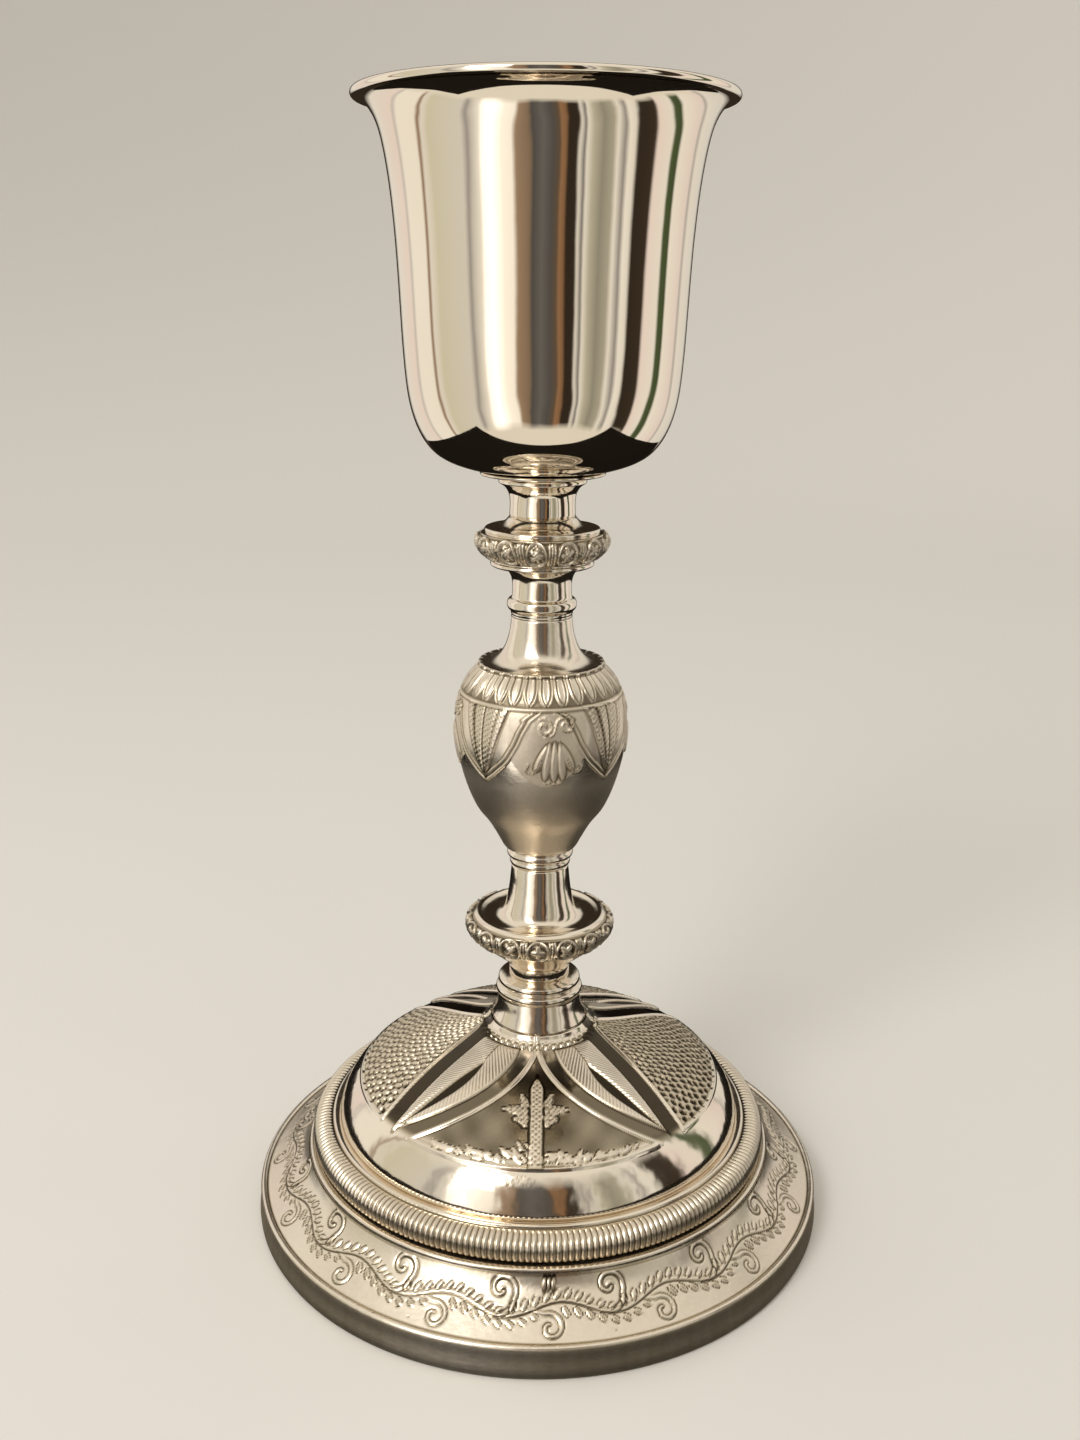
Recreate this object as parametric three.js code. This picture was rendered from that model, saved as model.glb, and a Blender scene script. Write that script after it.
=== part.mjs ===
// A silver altar chalice: six turned pieces stacked on one axis.
// Millimetres, +Z up, origin at the centre of the foot's underside, front towards -Y.
import * as THREE from 'three';

const DEG = Math.PI / 180;
const TURN = 2 * Math.PI;

// Driving dimensions of the foot, from the table upwards.
const BASE_RADIUS = 72.5;
const FOOT_WALL = 1.6;
const EDGE_RISE = 7.7;
const LIP_WIDTH = 1.4;
const LIP_RISE = 0.5;
const SLOPE_TOP_RADIUS = 59.6;
const SLOPE_RISE = 9.0;
const SLOPE_HOLLOW = 0.8;
const SILL_PROUD = 0.3;
const SILL_RISE = 1.3;
const REED_RADIUS = 58.2;
const REED_RISE = 6.2;
const REED_BULGE = 3.6;
const FILLET_RADIUS = 53.2;
const FILLET_RISE = 0.8;
const DOME_RADIUS = 51.3;
const DOME_RISE = 23.2;
const BEAD_LINE_RADIUS = 13.9;
const CONE_RISE = 9.2;
const CONE_TOP_RADIUS = 9.7;
const RING_RADIUS = 10.2;
const RING_RISE = 2.6;
const RING_COUNT = 2;

// Driving dimensions of the stem, each rise measured up the axis.
const NECK_RADIUS = 7.7;
const LOWER_NECK_RISE = 3.3;
const LOWER_KNOP_RADIUS = 18.4;
const LOWER_KNOP_RISE = 13.5;
const LOWER_DISC_RADIUS = 15.4;
const LOWER_DISC_DISH = 0.7;
const LOWER_STEM_RISE = 12.8;
const LOWER_STEM_RADIUS = 7.3;
const WAIST_RADIUS = 6.9;
const WAIST_BEAD_RADIUS = 7.4;
const WAIST_BEAD_RISE = 4.3;
const URN_RADIUS = 20.8;
const URN_RISE = 46.6;
const URN_FILLET_RADIUS = 14.7;
const URN_FILLET_RISE = 0.8;
const URN_NECK_RISE = 11.1;
const URN_NECK_RADIUS = 7.3;
const BEAD_RADIUS = 8.2;
const BEAD_RISE = 4.6;
const UPPER_NECK_RISE = 7.3;
const UPPER_NECK_RADIUS = 7.2;
const UPPER_KNOP_RADIUS = 15.6;
const UPPER_KNOP_RISE = 9.2;
const UPPER_FLARE_RISE = 2.5;
const COLLAR_NECK_RISE = 7.3;
const COLLAR_RING_RADIUS = 10.1;
const COLLAR_RING_RISE = 2.0;
const FLANGE_RADIUS = 14.5;
const FLANGE_RISE = 1.1;

// Driving dimensions of the cup.
const CUP_RISE = 79.0;
const CUP_BODY_RADIUS = 32.3;
const CUP_MOUTH_RADIUS = 40.7;
const CUP_WALL = 1.0;
const LIP_ROLL_RADIUS = 1.05;

// Carving: how many times each motif repeats, how far it turns, and how proud it stands.
const ORNAMENT_TURN = -2.5;
const URN_TURN = 4.5;
const QUARTERS = 4;
const SCROLL_WAVES = 16;
const SCROLL_TURN = 4.5;
const SCROLL_SWING = 2.0;
const STEM_HALF_WIDTH = 0.75;
const STEM_PROUD = 0.45;
const CURL_PROUD = 0.6;
const CURL_INSET = 3.1;
const REED_COUNT = 44;
const REED_DEPTH = 0.28;
const BEAD_COUNT = 30;
const BEAD_PROUD = 0.3;
const LEAF_PROUD = 0.45;
const BORDER_PROUD = 0.55;
const BORDER_WIDTH = 1.3;
const BAND_WIDTH = 4.4;
const LEAF_GAP = 1.6;
const SCALE_PROUD = 0.3;
const URN_CARVING_PROUD = 0.4;
const CROSS_PROUD = 0.5;
const CROSS_SHAFT_WIDTH = 3.0;
const TONGUE_COUNT = 30;
const TONGUE_PROUD = 0.3;
const UPPER_OVALS = 13;
const LOWER_OVALS = 16;
const OVAL_PROUD = 0.35;

// Columns of facets round each kind of surface.
const BROAD_COLUMNS = 36;
const HOLLOW_COLUMNS = 24;
const CUP_COLUMNS = 30;
const STEM_COLUMNS = 14;
const URN_COLUMNS = 30;
const FLANGE_COLUMNS = 24;
const LOWER_KNOP_COLUMNS = 32;
const UPPER_KNOP_COLUMNS = 26;

const POLISHED = { color: 0xd8ccb4, roughness: 0.12, metalness: 1.0 };
const CHASED = { color: 0xc9bda4, roughness: 0.35, metalness: 1.0 };

// Angles run anticlockwise seen from above, from the front (-Y) towards +X.
const around = (angle, radius, height) => ({
  angle,
  point: new THREE.Vector3(radius * Math.sin(angle * DEG), -radius * Math.cos(angle * DEG), height),
});

const onAxis = (height) => [around(0, 0, height)];

function ring([radius, height], columns) {
  return Array.from({ length: columns }, (_, i) => around((360 * i) / columns, radius, height));
}

const rings = (profile, columns) => profile.map((place) => ring(place, columns));

const mix = (a, b, share) => a + (b - a) * share;

// A smooth run of profile places through the given ones.
function smooth(places, divisions) {
  const curve = new THREE.SplineCurve(places.map(([r, z]) => new THREE.Vector2(r, z)));
  return curve.getPoints(divisions).map((p) => [p.x, p.y]);
}

// A bulging run from one place to another that stands out by the bulge at its middle.
function bulging([r0, z0], [r1, z1], bulge, divisions) {
  const length = Math.hypot(r1 - r0, z1 - z0);
  const out = [(z1 - z0) / length, -(r1 - r0) / length];
  return Array.from({ length: divisions + 1 }, (_, i) => {
    const share = i / divisions;
    const swell = bulge * Math.sqrt(Math.max(0, 1 - (2 * share - 1) ** 2));
    return [mix(r0, r1, share) + swell * out[0], mix(z0, z1, share) + swell * out[1]];
  });
}

// A straight or curved profile measured along its length, with its outward direction.
function profileSurface(places) {
  const lengths = [0];
  for (let i = 1; i < places.length; i += 1) {
    const [dr, dz] = [places[i][0] - places[i - 1][0], places[i][1] - places[i - 1][1]];
    lengths.push(lengths[i - 1] + Math.hypot(dr, dz));
  }
  const total = lengths[lengths.length - 1];
  function at(length) {
    const wanted = THREE.MathUtils.clamp(length, 0, total);
    let i = 1;
    while (i < places.length - 1 && lengths[i] < wanted) i += 1;
    const share = (wanted - lengths[i - 1]) / (lengths[i] - lengths[i - 1]);
    const [dr, dz] = [places[i][0] - places[i - 1][0], places[i][1] - places[i - 1][1]];
    const size = Math.hypot(dr, dz);
    return {
      radius: mix(places[i - 1][0], places[i][0], share),
      height: mix(places[i - 1][1], places[i][1], share),
      out: [dz / size, -dr / size],
    };
  }
  function raised(angle, length, proud) {
    const { radius, height, out } = at(length);
    return around(angle, radius + proud * out[0], height + proud * out[1]);
  }
  return { at, raised, total };
}

// The same profile moved inwards by a wall, corner by corner.
function inset(places, wall) {
  return places.map((place, i) => {
    const before = places[Math.max(0, i - 1)];
    const after = places[Math.min(places.length - 1, i + 1)];
    const a = new THREE.Vector2(place[0] - before[0], place[1] - before[1]);
    const b = new THREE.Vector2(after[0] - place[0], after[1] - place[1]);
    if (a.lengthSq() === 0) a.copy(b);
    if (b.lengthSq() === 0) b.copy(a);
    a.normalize();
    b.normalize();
    const along = a.clone().add(b).normalize();
    const reach = wall / Math.max(0.5, along.dot(a));
    return [place[0] - reach * along.y, place[1] + reach * along.x];
  });
}

// Joins two rows of points with triangles, whatever their numbers.
function stitch(lower, upper, offsets, triangles) {
  const [a, b] = offsets;
  const n = lower.length;
  const m = upper.length;
  if (n === 1 || m === 1) {
    const count = Math.max(n, m);
    for (let i = 0; i < count; i += 1) {
      const next = (i + 1) % count;
      if (n === 1) triangles.push(a, b + next, b + i);
      else triangles.push(a + i, a + next, b);
    }
    return;
  }
  if (n === m) {
    for (let i = 0; i < n; i += 1) {
      const next = (i + 1) % n;
      const rising = lower[i].point.distanceTo(upper[next].point);
      const falling = lower[next].point.distanceTo(upper[i].point);
      if (rising < falling) triangles.push(a + i, a + next, b + next, a + i, b + next, b + i);
      else triangles.push(a + i, a + next, b + i, a + next, b + next, b + i);
    }
    return;
  }
  const turnFrom = (angle) => (((angle - lower[0].angle) % 360) + 540) % 360 - 180;
  let first = 0;
  upper.forEach((item, i) => {
    if (Math.abs(turnFrom(item.angle)) < Math.abs(turnFrom(upper[first].angle))) first = i;
  });
  const start = turnFrom(upper[first].angle);
  const lowerTurn = (i) => (i === n ? 360 : lower[i].angle - lower[0].angle);
  const upperTurn = (j) => {
    if (j === m) return start + 360;
    const turn = upper[(first + j) % m].angle - upper[first].angle;
    return start + ((turn % 360) + 360) % 360;
  };
  let i = 0;
  let j = 0;
  while (i < n || j < m) {
    const stepLower = j === m || (i < n && lowerTurn(i + 1) <= upperTurn(j + 1));
    const low = a + (i % n);
    const high = b + ((first + j) % m);
    if (stepLower) {
      i += 1;
      triangles.push(low, a + (i % n), high);
    } else {
      j += 1;
      triangles.push(low, b + ((first + j) % m), high);
    }
  }
}

// One closed body from rows that start and end on the axis, the outside seen on the way up.
function body(name, finish, rows) {
  const positions = [];
  const offsets = [];
  rows.forEach((row) => {
    offsets.push(positions.length / 3);
    row.forEach(({ point }) => positions.push(point.x, point.y, point.z));
  });
  const triangles = [];
  for (let k = 1; k < rows.length; k += 1) {
    stitch(rows[k - 1], rows[k], [offsets[k - 1], offsets[k]], triangles);
  }
  const geometry = new THREE.BufferGeometry();
  geometry.setAttribute('position', new THREE.Float32BufferAttribute(positions, 3));
  geometry.setIndex(triangles);
  geometry.computeVertexNormals();
  const mesh = new THREE.Mesh(geometry, new THREE.MeshStandardMaterial(finish));
  mesh.name = name;
  return mesh;
}

// A cast band of rosettes between upright strokes: four columns to a rosette.
const ROSETTE_HEIGHTS = [0.6, -0.5, 1.0, -0.5];
const BAND_STRIPS = 3;

function rosetteBand(places, count) {
  const surface = profileSurface(places);
  const columns = count * ROSETTE_HEIGHTS.length;
  return places.map((_, k) => {
    const share = k / (places.length - 1);
    const fade = Math.sin(Math.PI * share);
    const length = surface.total * share;
    return Array.from({ length: columns }, (_, i) => {
      const proud = OVAL_PROUD * fade * ROSETTE_HEIGHTS[i % ROSETTE_HEIGHTS.length];
      return surface.raised((360 * i) / columns, length, proud);
    });
  });
}

// Foot: heights of its mouldings, each standing on the one below.
const slopeStart = EDGE_RISE;
const sillBottom = slopeStart + SLOPE_RISE;
const sillTop = sillBottom + SILL_RISE;
const reedTop = sillTop + REED_RISE;
const domeStart = reedTop + FILLET_RISE;
const beadLine = domeStart + DOME_RISE;
const coneTop = beadLine + CONE_RISE;
const FOOT_RISE = coneTop + RING_COUNT * RING_RISE;

const domePlace = (outShare, upShare) => [
  mix(BEAD_LINE_RADIUS, DOME_RADIUS, outShare),
  domeStart + DOME_RISE * upShare,
];

const DOME_PROFILE = smooth([
  domePlace(1, 0), domePlace(0.99, 0.1), domePlace(0.925, 0.29), domePlace(0.84, 0.43),
  domePlace(0.72, 0.55), domePlace(0.57, 0.66), domePlace(0.4, 0.76), domePlace(0.22, 0.85),
  domePlace(0.09, 0.93), domePlace(0, 1),
], 40);

const CONE_PROFILE = smooth([
  [BEAD_LINE_RADIUS, beadLine],
  [mix(CONE_TOP_RADIUS, BEAD_LINE_RADIUS, 0.42), mix(beadLine, coneTop, 0.35)],
  [mix(CONE_TOP_RADIUS, BEAD_LINE_RADIUS, 0.12), mix(beadLine, coneTop, 0.72)],
  [CONE_TOP_RADIUS, coneTop],
], 4);

const slopeFoot = [BASE_RADIUS - LIP_WIDTH - LIP_RISE, slopeStart];
const slopeHead = [SLOPE_TOP_RADIUS, sillBottom];
const SLOPE_PROFILE = bulging(slopeFoot, slopeHead, -SLOPE_HOLLOW, 8);

// The scrolling stem on the slope, with a curl over each valley and under each crest.
function scrollRows() {
  const surface = profileSurface(SLOPE_PROFILE);
  const perWave = 6;
  const columns = SCROLL_WAVES * perWave;
  const middle = surface.total / 2;
  const wave = (angle) => SCROLL_SWING * Math.cos((angle - SCROLL_TURN) * SCROLL_WAVES * DEG);
  const row = (lengthAt, proudAt) => Array.from({ length: columns }, (_, i) => {
    const angle = SCROLL_TURN + (360 * i) / columns;
    return surface.raised(angle, lengthAt(angle), proudAt(i % perWave));
  });
  const curl = (column) => (phase) => (phase === column ? CURL_PROUD : 0);
  const flat = () => 0;
  return [
    row(() => CURL_INSET, curl(0)),
    row((angle) => middle + wave(angle) - STEM_HALF_WIDTH, flat),
    row((angle) => middle + wave(angle), () => STEM_PROUD),
    row((angle) => middle + wave(angle) + STEM_HALF_WIDTH, flat),
    row(() => surface.total - CURL_INSET, curl(perWave / 2)),
  ];
}

function reededRows() {
  const places = bulging([REED_RADIUS - REED_BULGE * 0.25, sillTop], [FILLET_RADIUS, reedTop], REED_BULGE / 2, 3);
  const surface = profileSurface(places);
  const columns = REED_COUNT * 2;
  return places.map((_, k) => {
    const share = k / (places.length - 1);
    const depth = REED_DEPTH * Math.sin(Math.PI * mix(0.08, 0.92, share));
    return Array.from({ length: columns }, (_, i) => (
      surface.raised((360 * i) / columns, surface.total * share, i % 2 ? depth : -depth)
    ));
  });
}

// Half width of a dome panel in degrees, from its base (0) to its apex (1): the front panel is a
// pointed triangle with nearly straight sides, the others are round arches.
const PANEL_BASE_HALF = { front: 40.5, side: 36 };
const PANEL_APEX_HALF = 0.6;
const frontHalf = (share) => PANEL_BASE_HALF.front * (1 - share) ** 1.12 + PANEL_APEX_HALF;
const sideHalf = (share) => PANEL_BASE_HALF.side * Math.sqrt(1 - share ** 1.5) + PANEL_APEX_HALF;

// The dome's carving, row by row: four bordered panels and, between them, four split leaves.
// The front panel carries a cross and the others a coarse pattern of scales.
const PANEL_SPAN = { tip: 0.19, base: 0.21, apex: 0.975 };
const PANEL_LEVELS = [0, 0.03, 0.18, 0.37, 0.385, 0.455, 0.47, 0.6, 0.78, 1];
const CROSS_TOP = 0.6;
const CROSS_ARMS = { from: 0.38, to: 0.46, reach: 5 };
const LEAF_GAP_TOP = 0.7;

// The most that a border, a shaft, an arm, a band or a gap may take of a narrow place.
const MOST = { border: 0.6, shaft: 0.5, arm: 0.7, band: 0.36, gap: 0.25 };
const BAND_TAPER = 0.6;
const ARM_BEVEL = 0.2;
const LEAF_BEVEL = 0.1;

function halfPanel(index, level, degrees) {
  const share = PANEL_LEVELS[level];
  const front = index % QUARTERS === 0;
  const half = front ? frontHalf(share) : sideHalf(share);
  const inner = half - Math.min(degrees(BORDER_WIDTH), half * MOST.border);
  const crest = level === 0 ? 0 : BORDER_PROUD;
  const foot = level === 1 ? BORDER_PROUD : 0;
  const edge = [[inner, foot], [(inner + half) / 2, crest], [half, 0]];
  if (front) {
    const onCross = level > 0 && share <= CROSS_TOP;
    const onArms = share > CROSS_ARMS.from && share < CROSS_ARMS.to;
    const shaft = Math.min(degrees(CROSS_SHAFT_WIDTH) / 2, inner * MOST.shaft);
    const reach = Math.min(onArms ? shaft * CROSS_ARMS.reach : shaft, inner * MOST.arm);
    const proud = onCross ? CROSS_PROUD : foot;
    const columns = [[reach, proud], [mix(reach, inner, ARM_BEVEL), foot], ...edge];
    return { half, centre: proud, columns };
  }
  const scale = level > 1 && level < PANEL_LEVELS.length - 2 ? SCALE_PROUD : foot;
  const [odd, even] = level % 2 ? [scale, foot] : [foot, scale];
  return { half, centre: even, columns: [[inner / 3, odd], [(inner * 2) / 3, even], ...edge] };
}

function splitLeaf(from, to, level, degrees) {
  const share = PANEL_LEVELS[level];
  const room = to - from;
  const band = Math.min(degrees(BAND_WIDTH * mix(1, BAND_TAPER, share)), room * MOST.band);
  const [start, end] = [from + band, to - band];
  const middle = (start + end) / 2;
  const bevel = (end - start) * LEAF_BEVEL;
  const gapHalf = Math.min(degrees(LEAF_GAP) / 2, (end - start) * MOST.gap);
  const leaf = level === 0 ? 0 : LEAF_PROUD;
  const gap = share > LEAF_GAP_TOP ? leaf : 0;
  return [
    [start, 0], [start + bevel, leaf], [middle - gapHalf, leaf], [middle, gap],
    [middle + gapHalf, leaf], [end - bevel, leaf], [end, 0],
  ];
}

const domeSurface = profileSurface(DOME_PROFILE);
const PLAIN_DOME_SHARES = [0.05, 0.13];

function domeRows() {
  const quarter = 360 / QUARTERS;
  return PANEL_LEVELS.map((share, level) => {
    const place = level === 0 ? PANEL_SPAN.tip : mix(PANEL_SPAN.base, PANEL_SPAN.apex, share);
    const length = domeSurface.total * place;
    const degrees = (width) => width / domeSurface.at(length).radius / DEG;
    return Array.from({ length: QUARTERS }, (_, index) => {
      const here = halfPanel(index, level, degrees);
      const next = halfPanel(index + 1, level, degrees);
      const columns = [
        [0, here.centre],
        ...here.columns,
        ...splitLeaf(here.half, quarter - next.half, level, degrees),
        ...next.columns.map(([turn, proud]) => [quarter - turn, proud]).reverse(),
      ];
      const centre = ORNAMENT_TURN + index * quarter;
      return columns.map(([turn, proud]) => domeSurface.raised(centre + turn, length, proud));
    }).flat();
  });
}

// A row of small beads where the dome meets the cone.
const beadRow = Array.from({ length: BEAD_COUNT * 2 }, (_, i) => (
  around((180 * i) / BEAD_COUNT, BEAD_LINE_RADIUS + (i % 2 ? 0 : BEAD_PROUD), beadLine + BEAD_PROUD / 2)
));

// A rounded ring moulding that fills a rise, with a groove above and below.
const moulding = (radius, height, rise) => [
  [radius - rise * 0.2, height + rise * 0.06],
  [radius, height + rise * 0.38],
  [radius - rise * 0.2, height + rise * 0.86],
];

function footRows() {
  const shell = [
    [BASE_RADIUS, 0], [BASE_RADIUS, slopeStart], slopeHead,
    ...DOME_PROFILE.filter((_, i) => i % 10 === 0), CONE_PROFILE[2], [CONE_TOP_RADIUS, coneTop],
  ];
  const ceiling = coneTop - FOOT_WALL;
  const hollow = inset(shell, FOOT_WALL).filter(([, height], i) => i > 0 && height < ceiling);
  const plainDome = PLAIN_DOME_SHARES.map((share) => domeSurface.at(domeSurface.total * share));
  const ringMouldings = Array.from({ length: RING_COUNT }, (_, i) => (
    moulding(RING_RADIUS, coneTop + i * RING_RISE, RING_RISE)
  )).flat();
  return [
    onAxis(ceiling),
    ...rings([...hollow.reverse(), [BASE_RADIUS - FOOT_WALL, 0]], HOLLOW_COLUMNS),
    ...rings([
      [BASE_RADIUS, 0], [BASE_RADIUS, EDGE_RISE], [BASE_RADIUS - LIP_RISE, EDGE_RISE + LIP_RISE],
      [BASE_RADIUS - LIP_WIDTH, EDGE_RISE + LIP_RISE], slopeFoot,
    ], BROAD_COLUMNS),
    ...scrollRows(),
    ...rings([
      slopeHead, [SLOPE_TOP_RADIUS + SILL_PROUD, sillBottom + SILL_RISE * 0.2],
      [SLOPE_TOP_RADIUS + SILL_PROUD, sillTop - SILL_RISE * 0.1],
    ], BROAD_COLUMNS),
    ...reededRows(),
    ...rings([
      [FILLET_RADIUS, reedTop + FILLET_RISE * 0.1], [FILLET_RADIUS, domeStart - FILLET_RISE * 0.1],
      [DOME_RADIUS, domeStart], ...plainDome.map(({ radius, height }) => [radius, height]),
    ], BROAD_COLUMNS),
    ...domeRows(),
    beadRow,
    ...rings([...CONE_PROFILE.slice(1), ...ringMouldings, [NECK_RADIUS, FOOT_RISE]], STEM_COLUMNS),
    onAxis(FOOT_RISE),
  ];
}

// Lower knop: underside, cast band, dished top with its ridge, and the neck above.
const lowerKnopBottom = FOOT_RISE + LOWER_NECK_RISE;
const lowerKnopTop = lowerKnopBottom + LOWER_KNOP_RISE;
const LOWER_KNOP_TOP_SEAT = lowerKnopTop + LOWER_STEM_RISE;

function lowerKnopRows() {
  const knopPlace = (radius, share) => [radius, lowerKnopBottom + LOWER_KNOP_RISE * share];
  const bandFoot = knopPlace(mix(NECK_RADIUS, LOWER_KNOP_RADIUS, 0.3), 0.26);
  const bandHead = knopPlace(LOWER_KNOP_RADIUS * 0.965, 0.93);
  const band = smooth([
    bandFoot, knopPlace(mix(NECK_RADIUS, LOWER_KNOP_RADIUS, 0.78), 0.57),
    knopPlace(LOWER_KNOP_RADIUS, 0.82), bandHead,
  ], BAND_STRIPS);
  const neckAt = (share) => lowerKnopTop + LOWER_STEM_RISE * share;
  return [
    onAxis(FOOT_RISE),
    ...rings([
      [NECK_RADIUS, FOOT_RISE], [NECK_RADIUS, lowerKnopBottom - LOWER_NECK_RISE * 0.2],
      knopPlace(NECK_RADIUS + 1.4, 0.14),
    ], STEM_COLUMNS),
    ...rosetteBand(band, LOWER_OVALS),
    ...rings([
      [mix(LOWER_DISC_RADIUS, LOWER_KNOP_RADIUS, 0.35), lowerKnopTop - LOWER_DISC_DISH],
      [LOWER_DISC_RADIUS + 0.2, lowerKnopTop - LOWER_DISC_DISH * 0.3], [LOWER_DISC_RADIUS - 0.5, lowerKnopTop],
      [LOWER_DISC_RADIUS - 1.2, lowerKnopTop - LOWER_DISC_DISH * 0.6],
    ], LOWER_KNOP_COLUMNS),
    ...rings([
      [mix(LOWER_STEM_RADIUS, LOWER_DISC_RADIUS, 0.5), lowerKnopTop - LOWER_DISC_DISH],
      [mix(LOWER_STEM_RADIUS, LOWER_DISC_RADIUS, 0.27), neckAt(0.07)],
      [LOWER_STEM_RADIUS + 0.9, neckAt(0.24)], [LOWER_STEM_RADIUS, neckAt(0.6)],
      [WAIST_RADIUS, LOWER_KNOP_TOP_SEAT],
    ], STEM_COLUMNS),
    onAxis(LOWER_KNOP_TOP_SEAT),
  ];
}

// Urn knop: bead ring below, the urn with its tongues and leaves, the fillet and the neck.
const urnBottom = LOWER_KNOP_TOP_SEAT + WAIST_BEAD_RISE;
const urnTop = urnBottom + URN_RISE;
const urnFilletTop = urnTop + URN_FILLET_RISE;
const URN_TOP_SEAT = urnFilletTop + URN_NECK_RISE;

const urnPlace = (radiusShare, share) => [URN_RADIUS * radiusShare, urnBottom + URN_RISE * share];
const URN_PROFILE = smooth([
  [WAIST_RADIUS + 0.9, urnBottom], urnPlace(0.46, 0.05), urnPlace(0.64, 0.18), urnPlace(0.825, 0.32),
  urnPlace(0.94, 0.48), urnPlace(0.997, 0.63), urnPlace(0.99, 0.74), urnPlace(0.955, 0.83),
  urnPlace(0.89, 0.905), urnPlace(0.79, 0.96), [URN_FILLET_RADIUS, urnTop],
], 40);

// Urn carving levels as shares of its outline, each with the leaf's half width in degrees.
const URN_LEVELS = [
  { share: 0.475, leaf: 0.5, border: 1.5, palm: 0.15 },
  { share: 0.54, leaf: 6.5, border: 10, palm: 0.6 },
  { share: 0.62, leaf: 12.5, border: 22, palm: 1 },
  { share: 0.71, leaf: 17, border: 28.5, palm: 0.4 },
  { share: 0.78, leaf: 20.5, border: 34, palm: 1 },
  { share: 0.835, leaf: 22.5, border: 39.5, palm: 0.6 },
];
const URN_PLAIN_SHARES = [0, 0.1, 0.22, 0.35];
const URN_LINE_SHARES = { foot: 0.85, crest: 0.86 };
const TONGUE_SHARES = [0.9, 0.98];

function urnRows() {
  const surface = profileSurface(URN_PROFILE);
  const quarter = 360 / QUARTERS;
  const plainRow = (share, proud) => Array.from({ length: URN_COLUMNS }, (_, i) => (
    surface.raised((360 * i) / URN_COLUMNS, surface.total * share, proud)
  ));
  const carved = URN_LEVELS.map(({ share, leaf, border, palm }, level) => (
    Array.from({ length: QUARTERS }, (_, index) => {
      const centre = URN_TURN + (index + 0.5) * quarter;
      const room = quarter / 2 - border;
      const proud = level === 0 ? 0 : URN_CARVING_PROUD;
      const half = [
        [leaf * 0.2, proud], [leaf * 0.8, proud], [leaf, 0],
        [mix(leaf, border, 0.55), 0], [mix(leaf, border, 0.8), proud], [border, 0],
        [border + room * 0.3, 0], [border + room * 0.6, proud * palm],
      ];
      return [
        ...half.map(([turn, height]) => [-turn, height]).reverse(),
        [0, 0], ...half, [quarter / 2, proud * palm * 0.4],
      ].map(([turn, height]) => surface.raised(centre + turn, surface.total * share, height));
    }).flat()
  ));
  const tongues = (share, proud) => Array.from({ length: TONGUE_COUNT * 2 }, (_, i) => (
    surface.raised(URN_TURN + (180 * i) / TONGUE_COUNT, surface.total * share, i % 2 ? 0 : proud)
  ));
  return [
    ...URN_PLAIN_SHARES.map((share) => plainRow(share, 0)), ...carved,
    plainRow(URN_LINE_SHARES.foot, 0), plainRow(URN_LINE_SHARES.crest, TONGUE_PROUD),
    ...TONGUE_SHARES.map((share) => tongues(share, TONGUE_PROUD)),
    plainRow(1, 0),
  ];
}

function urnKnopRows() {
  const neckAt = (share) => urnFilletTop + URN_NECK_RISE * share;
  return [
    onAxis(LOWER_KNOP_TOP_SEAT),
    ...rings([
      [WAIST_RADIUS, LOWER_KNOP_TOP_SEAT],
      ...moulding(WAIST_BEAD_RADIUS, LOWER_KNOP_TOP_SEAT, WAIST_BEAD_RISE),
    ], STEM_COLUMNS),
    ...urnRows(),
    ...rings([
      [URN_FILLET_RADIUS + 0.3, urnTop + URN_FILLET_RISE * 0.4], [URN_FILLET_RADIUS - 0.4, urnFilletTop],
    ], URN_COLUMNS),
    ...rings([
      [mix(URN_NECK_RADIUS, URN_FILLET_RADIUS, 0.55), neckAt(0.09)],
      [mix(URN_NECK_RADIUS, URN_FILLET_RADIUS, 0.28), neckAt(0.24)],
      [mix(URN_NECK_RADIUS, URN_FILLET_RADIUS, 0.1), neckAt(0.48)],
      [URN_NECK_RADIUS, neckAt(0.78)], [URN_NECK_RADIUS, URN_TOP_SEAT],
    ], STEM_COLUMNS),
    onAxis(URN_TOP_SEAT),
  ];
}

// Upper knop: bead ring, neck, cast band between two fillets, and the flare above.
const upperNeckBottom = URN_TOP_SEAT + BEAD_RISE;
const upperKnopBottom = upperNeckBottom + UPPER_NECK_RISE;
const upperKnopTop = upperKnopBottom + UPPER_KNOP_RISE;
const UPPER_KNOP_TOP_SEAT = upperKnopTop + UPPER_FLARE_RISE;

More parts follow.
